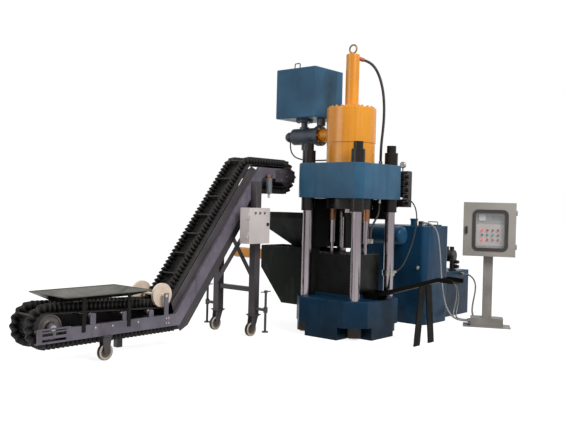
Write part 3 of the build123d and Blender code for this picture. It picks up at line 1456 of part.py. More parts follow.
# Control box on the near leg: open-fronted case facing +X with the fixed hinge halves
box_back_x = near_leg_face
box_front_x = box_back_x + box_depth
box_mid_y = leg_y + box_back_shift
box_low_y = box_mid_y - box_width / 2
box_high_y = box_mid_y + box_width / 2
box_top = box_low + box_height
box_hinge_place = (box_front_x + box_door_depth / 2, box_low_y - hinge_out)
box_hinge_lows = [box_low + box_hinge_inset, box_top - box_hinge_inset - 2 * hinge_knuckle]

with BuildPart() as control_box:
    block((box_back_x, box_low_y, box_low), (box_front_x, box_high_y, box_top))
    block((box_back_x + box_sheet, box_low_y + box_sheet, box_low + box_sheet),
          (box_front_x, box_high_y - box_sheet, box_top - box_sheet), Mode.SUBTRACT)
    for low in box_hinge_lows:
        upright(box_hinge_place, low, low + hinge_knuckle, hinge_dia)
        upright(box_hinge_place, low, low + hinge_knuckle + hinge_knuckle / 2, hinge_pin_dia)
        block((box_front_x - hinge_knuckle, box_low_y - hinge_out - hinge_dia / 2, low),
              (box_front_x + box_door_depth / 2, box_low_y, low + hinge_knuckle))
control_box.part.label = "control_box"
export_step(control_box.part, "parts/control_box.step")

# Control box door: folded pan with three lamps, a lock and its hinge halves
box_door_back = box_front_x + run_gap
box_door_front = box_door_back + box_door_depth
box_lamp_z = box_top - box_lamp_down

with BuildPart() as control_box_door:
    block((box_door_back, box_low_y, box_low), (box_door_front, box_high_y, box_top))
    block((box_door_back, box_low_y + box_door_sheet, box_low + box_door_sheet),
          (box_door_front - box_door_sheet, box_high_y - box_door_sheet, box_top - box_door_sheet),
          Mode.SUBTRACT)
    for low in box_hinge_lows:
        door_low = low + hinge_knuckle + run_gap
        upright(box_hinge_place, door_low, door_low + hinge_knuckle, hinge_dia)
        block((box_front_x + box_door_depth / 2, box_low_y - hinge_out, door_low),
              (box_door_front, box_low_y + box_door_sheet, door_low + hinge_knuckle))
        upright(box_hinge_place, door_low, door_low + hinge_knuckle, hinge_pin_dia + 2 * shaft_gap,
                Mode.SUBTRACT)
    for step in (-1, 0, 1):
        crossbar(box_door_front, box_door_front + box_lamp_height,
                 (box_mid_y + step * box_lamp_pitch, box_lamp_z), box_lamp_dia)
    block((box_door_front, box_high_y - box_lock_in - box_lock_side / 2, box_low + box_height / 2),
          (box_door_front + box_lock_depth, box_high_y - box_lock_in + box_lock_side / 2,
           box_low + box_height / 2 + box_lock_side))
control_box_door.part.label = "control_box_door"
export_step(control_box_door.part, "parts/control_box_door.step")

# Hoses and cables: tubes along their routes, each corner rounded as far as its runs allow


def tube(route, diameter, name):
    points = [Vector(*point) for point in route]
    radii = []
    for before, corner, after in zip(points, points[1:], points[2:]):
        run, next_run = corner - before, after - corner
        half_turn = math.radians(run.get_angle(next_run)) / 2
        radii.append(bend_share * min(run.length, next_run.length) / math.tan(half_turn))
    with BuildLine() as path:
        FilletPolyline(*points, radius=radii)
    with BuildSketch(Plane(path.line @ 0, z_dir=path.line % 0)) as section:
        Circle(diameter / 2)
    sweep(section.sketch, path=path.line)
    print(name, "length", round(path.wires()[0].length), "radii", [round(radius) for radius in radii])


cords = {
    "top_hose": (top_hose_route, top_hose_dia),
    "press_hose": (press_hose_route, press_hose_dia),
    "signal_cable": (signal_cable_route, signal_cable_dia),
    "conduit_1": (conduit_1_route, conduit_dia),
    "conduit_2": (conduit_2_route, conduit_dia),
}
for name, (route, diameter) in cords.items():
    with BuildPart() as cord:
        tube(route, diameter, name)
    cord.part.label = name
    export_step(cord.part, f"parts/{name}.step")


# Hose fittings: a sleeve at each end of each hose, cut to what carries it
def sleeve(end, inward, diameter, length):
    with BuildSketch(Plane(end, z_dir=Vector(end) - Vector(inward))) as section:
        Circle(diameter / 2 + fitting_wall)
    extrude(section.sketch, amount=length)


def route_end(route, last):
    return (route[-1], route[-2]) if last else (route[0], route[1])


port_x, port_y, port_z = press_hose_route[-1]
gland_x, gland_y, gland_z = conduit_1_route[0]
clamp_place = (column_pitch / 2, column_pitch / 2)
corner_reach = (sum(signal_cable_route[0][:2]) - crosshead_side + crosshead_corner) / math.sqrt(2)
side_gland = pedestal_plane.to_local_coords(Vector(*conduit_1_route[-1]))
back_gland = pedestal_plane.to_local_coords(Vector(*conduit_2_route[-1]))

with BuildPart() as hose_fittings:
    sleeve(*route_end(top_hose_route, False), top_hose_dia, elbow_length)
    upright((0, 0), cover_top, rapid_top, rapid_dia, Mode.SUBTRACT)
    sleeve(*route_end(top_hose_route, True), top_hose_dia, top_hose_route[-1][2] - crosshead_top)
    sleeve(*route_end(press_hose_route, False), press_hose_dia, crosshead_low - press_hose_route[0][2])
    block((demould_spread / 2, port_y - port_block[1] / 2, port_z - port_block[2]),
          (port_x + port_block[0] / 2, port_y + port_block[1] / 2, port_z))
    upright(demould_places[1], demould_low, demould_cap_low, demould_barrel_dia, Mode.SUBTRACT)
    sleeve(*route_end(signal_cable_route, False), signal_cable_dia, corner_reach)
    upright(clamp_place, clamp_low, clamp_low + clamp_height, column_dia + 2 * clamp_wall)
    sleeve(*route_end(signal_cable_route, True), signal_cable_dia, clamp_reach)
    upright(clamp_place, base_height, crosshead_low, column_dia + 2 * fit_gap, Mode.SUBTRACT)
    block((gland_x - gland_block[0], gland_y - gland_block[1] / 2, lid_top),
          (gland_x, gland_y + gland_block[1] / 2, gland_z + gland_block[1] / 2))
    side_end = Vector(conduit_1_route[-1])
    sleeve(side_end, side_end - pedestal_plane.x_dir, conduit_dia, -channel_width / 2 - side_gland.X)
    sleeve(*route_end(conduit_2_route, False), conduit_dia, conduit_2_route[0][0] - plinth_side_x)
    back_end = Vector(conduit_2_route[-1])
    sleeve(back_end, back_end + pedestal_plane.y_dir, conduit_dia,
           back_gland.Y - channel_front - channel_depth)
hose_fittings.part.label = "hose_fittings"
export_step(hose_fittings.part, "parts/hose_fittings.step")
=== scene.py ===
import math
import bmesh
import bpy
from mathutils import Matrix, Vector


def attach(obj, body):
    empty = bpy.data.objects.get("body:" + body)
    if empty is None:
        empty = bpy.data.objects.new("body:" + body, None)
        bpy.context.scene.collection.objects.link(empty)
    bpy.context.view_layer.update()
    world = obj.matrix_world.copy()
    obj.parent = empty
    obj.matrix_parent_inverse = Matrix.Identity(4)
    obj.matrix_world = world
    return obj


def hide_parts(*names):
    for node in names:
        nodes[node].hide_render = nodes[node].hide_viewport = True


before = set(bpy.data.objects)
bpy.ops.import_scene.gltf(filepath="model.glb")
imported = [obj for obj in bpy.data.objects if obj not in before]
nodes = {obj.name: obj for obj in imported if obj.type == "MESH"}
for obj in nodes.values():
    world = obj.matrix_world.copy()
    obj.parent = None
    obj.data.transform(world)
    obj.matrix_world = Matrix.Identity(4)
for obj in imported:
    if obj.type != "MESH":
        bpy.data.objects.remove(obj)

scene = bpy.context.scene
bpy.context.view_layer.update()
print("frame loaded with", len(nodes), "nodes")

scene.view_settings.view_transform = "Standard"


def newObject(name, data):
    ob = bpy.data.objects.new(name, data)
    scene.collection.objects.link(ob)
    return ob


# camera, solved from the square corners of the press in the photo
cameraSet = {
    "place": (4.655, -6.668, 1.40),
    "lens": 46.74, "sensor": 36, "reach": 200,
    "heading": (-0.6448, 0.7644),
    "pitchDown": 0.54,
    "roll": 1.43,
}


def aimCamera(s):
    pitch = math.radians(s["pitchDown"])
    flat = Vector((s["heading"][0], s["heading"][1], 0)).normalized()
    ahead = flat * math.cos(pitch) - Vector((0, 0, math.sin(pitch)))
    side = ahead.cross(Vector((0, 0, 1))).normalized()
    upward = side.cross(ahead)
    turn = math.radians(s["roll"])
    right = side * math.cos(turn) + upward * math.sin(turn)
    top = upward * math.cos(turn) - side * math.sin(turn)
    lens = bpy.data.cameras.new("photoCamera")
    lens.lens = s["lens"]
    lens.sensor_width = s["sensor"]
    lens.clip_end = s["reach"]
    cam = newObject("photoCamera", lens)
    rows = Matrix((right, top, -ahead)).transposed().to_4x4()
    rows.translation = Vector(s["place"])
    cam.matrix_world = rows
    scene.camera = cam


aimCamera(cameraSet)


# light: soft, brighter from the right, and a white background for camera and mirror rays
lightSet = {
    "ambient": 0.40, "aim": (0, 0, 1.2),
    "keyPower": 450, "keyPlace": (6.5, -1.5, 6.5), "keySize": 4.0,
    "fillPower": 120, "fillPlace": (-3.0, -7.2, 3.2), "fillSize": 4.0,
    "floorTint": 0.45, "floorGlow": 0.86, "floorRough": 0.9, "floorHalf": 60, "floorHeight": -0.0005,
}


def softLamp(s, name):
    lamp = bpy.data.lights.new(name + "Lamp", "AREA")
    lamp.energy = s[name + "Power"]
    lamp.shape = "DISK"
    lamp.size = s[name + "Size"]
    ob = newObject(name + "Lamp", lamp)
    ob.location = s[name + "Place"]
    ob.rotation_euler = (Vector(s["aim"]) - ob.location).to_track_quat("-Z", "Y").to_euler()


# 1 for the rays that see the white background, 0 for those that only carry light
def seenRay(tree):
    path = tree.nodes.new("ShaderNodeLightPath")
    total = path.outputs["Is Camera Ray"]
    for kind in ("Is Glossy Ray", "Is Transmission Ray"):
        both = tree.nodes.new("ShaderNodeMath")
        both.operation = "MAXIMUM"
        tree.links.new(total, both.inputs[0])
        tree.links.new(path.outputs[kind], both.inputs[1])
        total = both.outputs[0]
    return total


def setStudio(s):
    world = bpy.data.worlds.new("studio")
    scene.world = world
    world.use_nodes = True
    tree = world.node_tree
    level = tree.nodes.new("ShaderNodeMapRange")
    level.inputs["To Min"].default_value = s["ambient"]
    level.inputs["To Max"].default_value = 1.0
    tree.links.new(seenRay(tree), level.inputs["Value"])
    back = tree.nodes["Background"]
    back.inputs["Color"].default_value = (1, 1, 1, 1)
    tree.links.new(level.outputs["Result"], back.inputs["Strength"])
    softLamp(s, "key")
    softLamp(s, "fill")

    mat = bpy.data.materials.new("floorPaper")
    mat.use_nodes = True
    tree = mat.node_tree
    shader = tree.nodes["Principled BSDF"]
    tint = s["floorTint"]
    shader.inputs["Base Color"].default_value = (tint, tint, tint, 1)
    shader.inputs["Roughness"].default_value = s["floorRough"]
    shader.inputs["Specular IOR Level"].default_value = 0.0
    shader.inputs["Emission Color"].default_value = (1, 1, 1, 1)
    glow = tree.nodes.new("ShaderNodeMath")
    glow.operation = "MULTIPLY"
    glow.inputs[1].default_value = s["floorGlow"]
    tree.links.new(seenRay(tree), glow.inputs[0])
    tree.links.new(glow.outputs[0], shader.inputs["Emission Strength"])
    far, height = s["floorHalf"], s["floorHeight"]
    corners = [(-far, -far), (far, -far), (far, far), (-far, far)]
    mesh = bpy.data.meshes.new("floor")
    mesh.from_pydata([(x, y, height) for x, y in corners], [], [(0, 1, 2, 3)])
    mesh.materials.append(mat)
    floor = newObject("floor", mesh)


setStudio(lightSet)
print("camera, lights and floor set")


# one builder for the shop finishes: paint, rubber, bare and oily steel all share these layers
layerSet = {
    "blotch": 2.5, "blotchSpread": (0.35, 0.7), "streakSpread": (0.52, 0.72),
    "shadeAndGrimeScale": 6.0, "shadeAndGrimePatch": (0.3, 0.65, 0.25, 1.0),
    "rimSamples": 4, "rimTurn": (0.985, 0.86), "rimScale": 14.0, "rimPatch": (0.4, 0.6, 0.15, 1.0),
    "smearScale": 7.0, "smearSpread": (0.3, 0.7), "spec": 0.4, "coatRough": 0.15, "bumpStrength": 0.6,
}


def tone(rgb):
    out = []
    for v in rgb:
        v = v / 255
        out.append(v / 12.92 if v <= 0.04045 else ((v + 0.055) / 1.055) ** 2.4)
    return (*out, 1.0)


def finish(name, look):
    mat = bpy.data.materials.new(name)
    mat.use_nodes = True
    tree = mat.node_tree
    make, join = tree.nodes.new, tree.links.new
    shader = tree.nodes["Principled BSDF"]
    place = make("ShaderNodeTexCoord").outputs["Object"]

    def noise(scale, detail, stretch=None):
        source = place
        if stretch:
            squeeze = make("ShaderNodeMapping")
            squeeze.inputs["Scale"].default_value = stretch
            join(place, squeeze.inputs["Vector"])
            source = squeeze.outputs["Vector"]
        tex = make("ShaderNodeTexNoise")
        tex.inputs["Scale"].default_value = scale
        tex.inputs["Detail"].default_value = detail
        join(source, tex.inputs["Vector"])
        return tex.outputs[0]

    def spread(value, low, high, toLow=0.0, toHigh=1.0):
        node = make("ShaderNodeMapRange")
        for key, amount in (("From Min", low), ("From Max", high), ("To Min", toLow), ("To Max", toHigh)):
            node.inputs[key].default_value = amount
        join(value, node.inputs["Value"])
        return node.outputs["Result"]

    def times(a, b):
        node = make("ShaderNodeMath")
        node.operation = "MULTIPLY"
        join(a, node.inputs[0])
        if isinstance(b, float):
            node.inputs[1].default_value = b
        else:
            join(b, node.inputs[1])
        return node.outputs[0]

    def layer(under, over, factor):
        node = make("ShaderNodeMix")
        node.data_type = "RGBA"
        join(factor, node.inputs[0])
        for value, socket in ((under, node.inputs[6]), (over, node.inputs[7])):
            if isinstance(value, tuple):
                socket.default_value = value
            else:
                join(value, socket)
        return node.outputs[2]

    # broad uneven colour first, then streaks, then darkening toward the floor in patches (painted shade with
    # some grime), then edges lightened for wear and as a painted highlight
    first, second = look["tones"]
    patches = noise(look.get("blotch", layerSet["blotch"]), detail=4.0)
    patches = spread(patches, *look.get("blotchSpread", layerSet["blotchSpread"]))
    colour = layer(tone(first), tone(second), patches)
    if "streak" in look:
        scale, stretch, over, amount = look["streak"]
        lines = spread(noise(scale, detail=3.0, stretch=stretch), *layerSet["streakSpread"])
        colour = layer(colour, tone(over), times(lines, amount))
    # darker toward the floor in noisy patches: painted shade, partly grime
    if "shadeAndGrime" in look:
        top, bottom, over, amount = look["shadeAndGrime"]
        apart = make("ShaderNodeSeparateXYZ")
        join(place, apart.inputs[0])
        depth = spread(apart.outputs[2], top, bottom)
        patch = noise(look.get("shadeAndGrimeScale", layerSet["shadeAndGrimeScale"]), detail=5.0)
        patch = spread(patch, *layerSet["shadeAndGrimePatch"])
        colour = layer(colour, tone(over), times(times(depth, patch), amount))
    soft = None
    # lighter colour on the edges: wear, and a painted highlight on chamfers, nut corners and belt ridges
    if "edge" in look:
        width, over, amount = look["edge"]
        soft = make("ShaderNodeBevel")
        soft.samples = layerSet["rimSamples"]
        soft.inputs["Radius"].default_value = width
        true = make("ShaderNodeNewGeometry")
        dot = make("ShaderNodeVectorMath")
        dot.operation = "DOT_PRODUCT"
        join(soft.outputs[0], dot.inputs[0])
        join(true.outputs["Normal"], dot.inputs[1])
        rim = spread(dot.outputs["Value"], *layerSet["rimTurn"])
        broken = spread(noise(layerSet["rimScale"], detail=5.0), *layerSet["rimPatch"])
        colour = layer(colour, tone(over), times(times(rim, broken), amount))
    join(colour, shader.inputs["Base Color"])

    smear = noise(layerSet["smearScale"], detail=5.0)
    join(spread(smear, *layerSet["smearSpread"], *look["rough"]), shader.inputs["Roughness"])
    shader.inputs["Metallic"].default_value = look.get("metal", 0.0)
    shader.inputs["Specular IOR Level"].default_value = look.get("spec", layerSet["spec"])
    shader.inputs["Coat Weight"].default_value = look.get("coat", 0.0)
    shader.inputs["Coat Roughness"].default_value = layerSet["coatRough"]
    if "glow" in look:
        shader.inputs["Emission Color"].default_value = tone(first)
        shader.inputs["Emission Strength"].default_value = look["glow"]
    shader.inputs["Alpha"].default_value = look.get("alpha", 1.0)

    grainScale, grainDepth = look["grain"]
    bump = make("ShaderNodeBump")
    bump.inputs["Strength"].default_value = layerSet["bumpStrength"]
    bump.inputs["Distance"].default_value = grainDepth
    grain = noise(grainScale, detail=3.0, stretch=look.get("grainStretch"))
    join(grain, bump.inputs["Height"])
    if soft:
        join(soft.outputs[0], bump.inputs["Normal"])
    join(bump.outputs[0], shader.inputs["Normal"])
    return mat


# tones are the two colours that blend, grain is (scale, depth), edge (width, colour, amount) for worn edges
# that also carry a painted highlight, streak (scale, stretch, colour, amount) and shadeAndGrime (from height,
# to height, colour, amount), darker toward the floor: painted shade with some grime
finishSet = {
    "pressBlue": {"tones": [(54, 100, 130), (38, 78, 106)], "blotch": 2.2, "blotchSpread": (0.38, 0.66),
        "rough": (0.32, 0.5), "coat": 0.03, "spec": 0.2, "grain": (70.0, 0.0008),
        "edge": (0.006, (92, 136, 160), 0.6), "streak": (5.0, (3.0, 3.0, 0.25), (24, 54, 76), 0.4),
        "shadeAndGrime": (1.1, 0.15, (5, 20, 31), 0.97)},
    # the press blue made darker for the base: painted shade
    "shadedBaseBlue": {"tones": [(22, 60, 86), (14, 44, 66)], "blotch": 2.2, "blotchSpread": (0.38, 0.66),
        "rough": (0.34, 0.52), "coat": 0.03, "spec": 0.1, "grain": (70.0, 0.0008),
        "edge": (0.006, (74, 116, 140), 0.6), "streak": (5.0, (3.0, 3.0, 0.25), (10, 34, 50), 0.4),
        "shadeAndGrime": (0.32, 0.0, (6, 18, 27), 0.85)},
    "tankBlue": {"tones": [(30, 80, 114), (22, 62, 92)], "blotch": 1.3, "rough": (0.26, 0.44), "coat": 0.03,
        "spec": 0.12, "grain": (60.0, 0.0007), "edge": (0.005, (84, 126, 150), 0.6),
        "streak": (3.0, (3.0, 3.0, 0.2), (18, 46, 66), 0.45), "shadeAndGrime": (1.0, 0.1, (8, 26, 40), 0.75)},
    "cylinderYellow": {"tones": [(240, 158, 26), (224, 140, 20)], "blotch": 3.0, "blotchSpread": (0.35, 0.75),
        "rough": (0.24, 0.4), "coat": 0.2, "grain": (80.0, 0.0006), "edge": (0.004, (255, 200, 96), 0.5),
        "streak": (6.0, (4.0, 4.0, 0.3), (190, 104, 20), 0.35)},
    "columnChrome": {"tones": [(150, 142, 146), (128, 120, 124)], "blotch": 2.0, "blotchSpread": (0.35, 0.75),
        "rough": (0.12, 0.2), "metal": 1.0, "grain": (200.0, 0.0001), "grainStretch": (1.0, 1.0, 6.0),
        "streak": (14.0, (5.0, 5.0, 0.03), (96, 88, 90), 0.35)},
    "nutSteel": {"tones": [(32, 27, 25), (20, 18, 17)], "rough": (0.18, 0.36), "metal": 0.5,
        "grain": (150.0, 0.0005), "edge": (0.004, (126, 110, 98), 0.7)},
    "oilySteel": {"tones": [(26, 28, 25), (15, 17, 15)], "blotch": 9.0, "blotchSpread": (0.35, 0.65),
        "rough": (0.25, 0.5), "metal": 0.2, "spec": 0.15, "grain": (120.0, 0.0006),
        "edge": (0.004, (96, 92, 84), 0.5), "shadeAndGrime": (0.95, 0.4, (10, 11, 10), 0.6)},
    "copperCap": {"tones": [(140, 98, 70), (104, 74, 54)], "rough": (0.25, 0.42), "metal": 0.8,
        "grain": (140.0, 0.0004)},
    "hopperGreen": {"tones": [(27, 32, 28), (17, 21, 18)], "blotch": 3.2, "rough": (0.35, 0.55), "spec": 0.1,
        "grain": (90.0, 0.0007), "edge": (0.004, (122, 126, 118), 0.6),
        "streak": (4.0, (1.6, 1.6, 0.5), (92, 94, 88), 0.35)},
    "chuteBlack": {"tones": [(11, 11, 10), (7, 7, 6)], "rough": (0.4, 0.58), "spec": 0.06,
        "grain": (100.0, 0.0006), "edge": (0.003, (52, 50, 48), 0.4)},
    "conveyorGrey": {"tones": [(122, 117, 130), (92, 87, 98)], "blotch": 4.0, "rough": (0.33, 0.52),
        "grain": (110.0, 0.0006), "edge": (0.003, (186, 182, 188), 0.6),
        "streak": (7.0, (1.0, 2.2, 0.5), (72, 62, 58), 0.45)},
    "standGrey": {"tones": [(80, 75, 79), (56, 52, 55)], "blotch": 3.0, "rough": (0.32, 0.5),
        "grain": (110.0, 0.0006), "edge": (0.004, (146, 140, 142), 0.6),
        "shadeAndGrime": (0.5, 0.0, (38, 34, 32), 0.5)},
    "traySheet": {"tones": [(116, 115, 107), (90, 89, 83)], "blotch": 5.0, "rough": (0.4, 0.6),
        "grain": (80.0, 0.0008), "edge": (0.003, (152, 154, 148), 0.6),
        "streak": (5.0, (2.5, 0.6, 1.0), (40, 43, 42), 0.6)},
    "beltRubber": {"tones": [(34, 32, 31), (21, 20, 21)], "blotch": 5.0, "rough": (0.45, 0.7), "spec": 0.35,
        "grain": (160.0, 0.0006), "edge": (0.005, (128, 112, 100), 0.85),
        "streak": (6.0, (1.0, 1.0, 1.0), (70, 62, 56), 0.35)},
    "drumGrey": {"tones": [(108, 98, 98), (78, 70, 70)], "blotch": 9.0, "rough": (0.35, 0.55), "metal": 0.2,
        "grain": (130.0, 0.0006), "edge": (0.003, (164, 156, 152), 0.6)},
    "brightSteel": {"tones": [(172, 168, 164), (126, 122, 118)], "blotch": 20.0, "rough": (0.2, 0.38),
        "metal": 0.95, "grain": (220.0, 0.0003)},
    "discIvory": {"tones": [(250, 230, 210), (228, 205, 182)], "blotch": 14.0, "blotchSpread": (0.4, 0.7),
        "rough": (0.3, 0.48), "grain": (90.0, 0.0005), "edge": (0.004, (176, 152, 130), 0.5)},
    "wheelCream": {"tones": [(226, 214, 196), (196, 180, 160)], "blotch": 18.0, "rough": (0.4, 0.6),
        "grain": (160.0, 0.0005), "shadeAndGrime": (0.14, -0.02, (110, 98, 88), 0.6), "shadeAndGrimeScale": 30.0},
    "treadDark": {"tones": [(54, 46, 41), (34, 29, 27)], "blotch": 30.0, "rough": (0.45, 0.65), "spec": 0.25,
        "grain": (160.0, 0.0005)},
    "wheelHub": {"tones": [(132, 116, 102), (78, 66, 58)], "blotch": 46.0, "blotchSpread": (0.38, 0.62),
        "rough": (0.35, 0.52), "metal": 0.3, "grain": (160.0, 0.0005), "edge": (0.002, (180, 170, 162), 0.6)},
    "cabinetBeige": {"tones": [(174, 168, 161), (157, 151, 145)], "blotch": 2.2, "rough": (0.4, 0.56),
        "spec": 0.25, "grain": (240.0, 0.0005), "edge": (0.003, (208, 203, 194), 0.6),
        "shadeAndGrime": (1.0, 0.35, (112, 109, 107), 0.6)},
    "gasketDark": {"tones": [(62, 57, 54), (48, 44, 42)], "rough": (0.5, 0.65), "grain": (200.0, 0.0004)},
    "panelGrey": {"tones": [(176, 172, 170), (162, 158, 158)], "rough": (0.4, 0.55),
        "grain": (200.0, 0.0003)},
    "buttonPlate": {"tones": [(216, 206, 202), (204, 194, 192)], "rough": (0.35, 0.5),
        "grain": (220.0, 0.0002)},
    "blankPlate": {"tones": [(146, 156, 146), (132, 142, 134)], "rough": (0.35, 0.5),
        "grain": (200.0, 0.0003)},
    "boxWhite": {"tones": [(220, 212, 209), (204, 195, 192)], "blotch": 3.0, "rough": (0.35, 0.5),
        "grain": (240.0, 0.0004), "edge": (0.003, (176, 166, 160), 0.5)},
    "lockBlack": {"tones": [(32, 30, 30), (22, 21, 22)], "rough": (0.3, 0.45), "grain": (200.0, 0.0003)},
    "redLit": {"tones": [(236, 48, 36), (218, 38, 30)], "rough": (0.2, 0.3), "grain": (200.0, 0.0002),
        "glow": 0.9},
    "redDark": {"tones": [(150, 40, 36), (126, 32, 30)], "rough": (0.2, 0.32), "grain": (200.0, 0.0002)},
    "buttonDark": {"tones": [(52, 48, 50), (40, 37, 40)], "rough": (0.3, 0.42), "grain": (200.0, 0.0002)},
    "buttonGreen": {"tones": [(66, 122, 92), (52, 104, 78)], "rough": (0.25, 0.38), "grain": (200.0, 0.0002)},
    "lampBrown": {"tones": [(138, 104, 92), (112, 82, 72)], "rough": (0.25, 0.4), "grain": (200.0, 0.0002)},
    "hoseBlack": {"tones": [(48, 43, 41), (36, 33, 32)], "blotch": 12.0, "rough": (0.38, 0.55),
        "grain": (260.0, 0.0004)},
    "conduitGrey": {"tones": [(166, 166, 166), (142, 142, 144)], "blotch": 10.0, "rough": (0.35, 0.5),
        "metal": 0.25, "grain": (220.0, 0.0003)},
    "sleeveRed": {"tones": [(162, 84, 62), (136, 66, 50)], "rough": (0.3, 0.45), "metal": 0.4,
        "grain": (160.0, 0.0004)},
    "eyeGold": {"tones": [(158, 126, 80), (122, 94, 58)], "blotch": 16.0, "rough": (0.3, 0.46), "metal": 0.6,
        "grain": (150.0, 0.0004)},
    "valveSlate": {"tones": [(74, 84, 96), (54, 62, 72)], "blotch": 10.0, "rough": (0.32, 0.5),
        "grain": (110.0, 0.0006), "edge": (0.003, (128, 138, 148), 0.6)},
    "valveBrown": {"tones": [(46, 40, 38), (32, 29, 28)], "blotch": 14.0, "rough": (0.3, 0.48), "metal": 0.2,
        "grain": (130.0, 0.0005), "edge": (0.003, (112, 98, 86), 0.6)},
    "ballDark": {"tones": [(66, 66, 68), (46, 46, 48)], "blotch": 16.0, "rough": (0.28, 0.45),
        "grain": (120.0, 0.0005)},
    "motorGrey": {"tones": [(124, 128, 132), (104, 107, 112)], "blotch": 8.0, "rough": (0.35, 0.5),
        "grain": (110.0, 0.0006), "edge": (0.003, (172, 174, 176), 0.5)},
    "dialWhite": {"tones": [(236, 236, 234), (224, 224, 224)], "rough": (0.25, 0.35),
        "grain": (200.0, 0.0001)},
    "paneClear": {"tones": [(238, 242, 244), (230, 236, 240)], "rough": (0.03, 0.06), "grain": (4.0, 0.0001),
        "alpha": 0.1},
}
finishes = {name: finish(name, look) for name, look in finishSet.items()}
print("finishes made")


# CAD nodes that keep their shape
nodeFinish = {
    "pressBlue": ["crosshead", "fill_tank"],
    "shadedBaseBlue": ["press_base"],
    "tankBlue": ["oil_tank", "tank_lid", "oil_cooler", "pump_plinth"],
    "cylinderYellow": ["main_cylinder", "cylinder_cover", "rapid_cylinder", "feed_cylinder"],
    "columnChrome": ["tie_columns", "main_ram", "demould_rods", "demould_cylinders"],
    "nutSteel": ["ring_nuts"],
    "oilySteel": ["mould_block", "punch", "feed_pusher"],
    "hopperGreen": ["feed_bed", "chip_hopper"],
    "chuteBlack": ["discharge_chute"],
    "valveSlate": ["prefill_valve", "fill_pipe"],
    "valveBrown": ["valve_stack", "motor_pump"],
    "eyeGold": ["lifting_eyes"],
    "conveyorGrey": ["conveyor_frame"],
    "standGrey": ["conveyor_stand", "swivel_fork_near", "swivel_fork_far", "jack_near", "jack_far"],
    "traySheet": ["loading_tray"],
    "drumGrey": ["tail_drum", "head_drum"],
    "discIvory": ["deflection_discs"],
    "brightSteel": ["hose_fittings"],
    "motorGrey": ["gear_motor"],
    "cabinetBeige": ["cabinet_pedestal", "cabinet_case", "cabinet_door"],
    "boxWhite": ["control_box", "control_box_door"],
    "panelGrey": ["button_panel"],
    "gasketDark": ["door_window"],
    "lockBlack": ["door_handle"],
    "buttonDark": ["push_button_1", "push_button_4"],
    "buttonGreen": ["push_button_2", "push_button_3"],
}
for finishName, names in nodeFinish.items():
    for nodeName in names:
        mesh = nodes[nodeName].data
        mesh.materials.clear()
        mesh.materials.append(finishes[finishName])


def paintPart(nodeName, finishName, picks):
    mesh = nodes[nodeName].data
    mesh.materials.append(finishes[finishName])
    index = len(mesh.materials) - 1
    for face in mesh.polygons:
        if picks(face.center, face.normal):
            face.material_index = index


# the pedestal's own axes: across its front, into it, and up
pedestal = {"corner": Vector((0.950, 1.535, 0)), "turn": math.radians(26)}
across = Vector((math.cos(pedestal["turn"]), math.sin(pedestal["turn"]), 0))
inward = Vector((-across.y, across.x, 0))


def onPanel(point):
    local = Vector(point) - pedestal["corner"]
    return local.dot(across), local.dot(inward), local.z


panelSet = {
    "columnPitch": 0.060, "rowPitch": 0.057, "lampFace": 0.0405, "lampRadius": 0.016,
    "plateFace": 0.0448, "plate": (0.010, 1.100, 0.160, 0.1275), "meter": (-0.082, 1.307, 0.040, 0.040),
    "blank": (0.085, 1.303, 0.062, 0.033), "window": (0.010, 1.156, 0.167, 0.207), "squareOn": 0.9,
}


def lampAt(point, row, column):
    u, v, z = onPanel(point)
    s = panelSet
    du = u - s["plate"][0] - (column - 1.5) * s["columnPitch"]
    dz = z - s["plate"][1] - row * s["rowPitch"]
    return v < s["lampFace"] and math.hypot(du, dz) < s["lampRadius"]


def inPlate(point, plate):
    u, v, z = onPanel(point)
    middle, height, halfWide, halfHigh = plate
    return abs(u - middle) < halfWide and abs(z - height) < halfHigh and v < panelSet["plateFace"]


s = panelSet
paintPart("button_panel", "buttonPlate", lambda c, n: inPlate(c, s["plate"]))
paintPart("button_panel", "redDark",
          lambda c, n: any(lampAt(c, row, col) for row in (-1, 1) for col in range(4)))
paintPart("button_panel", "redLit", lambda c, n: lampAt(c, 1, 0) or lampAt(c, -1, 0))
paintPart("button_panel", "blankPlate", lambda c, n: inPlate(c, s["blank"]))
paintPart("button_panel", "dialWhite", lambda c, n: inPlate(c, s["meter"]))
paintPart("door_window", "paneClear",
          lambda c, n: abs(n.dot(inward)) > s["squareOn"] and inPlate(c, s["window"]))
print("button panel painted")

# parts of kept nodes with a finish of their own, by where their faces lie
paintSet = {
    "columnNut": 1.87, "rodCap": 1.243, "valveBall": -0.802, "portFlange": -0.395, "headPlates": -0.545,
    "tailAxle": (-3.290, 0.341, 0.041), "gaugeFoot": 1.801, "gaugeFace": 1.835, "boxFront": -0.3945,
    "boxLamps": (1.29, 1.33), "boxLock": 1.25, "tankEye": -0.4, "trayPost": 0.5, "underside": -0.3,
    "sleeve": 2.95, "squareOn": 0.9,
}
s = paintSet
axleY, axleZ, axleRadius = s["tailAxle"]
paintPart("tie_columns", "nutSteel", lambda c, n: c.z > s["columnNut"])
paintPart("demould_cylinders", "copperCap", lambda c, n: c.z > s["rodCap"])
paintPart("prefill_valve", "ballDark", lambda c, n: c.x < s["valveBall"])
paintPart("main_cylinder", "valveSlate", lambda c, n: c.x < s["portFlange"])
paintPart("conveyor_frame", "standGrey", lambda c, n: c.y > s["headPlates"])
paintPart("tail_drum", "brightSteel", lambda c, n: math.hypot(c.y - axleY, c.z - axleZ) < axleRadius)
paintPart("valve_stack", "brightSteel", lambda c, n: c.z > s["gaugeFoot"])
paintPart("valve_stack", "dialWhite", lambda c, n: c.z > s["gaugeFace"] and n.y < -s["squareOn"])
paintPart("control_box_door", "lampBrown",
          lambda c, n: c.x > s["boxFront"] and s["boxLamps"][0] < c.z < s["boxLamps"][1])
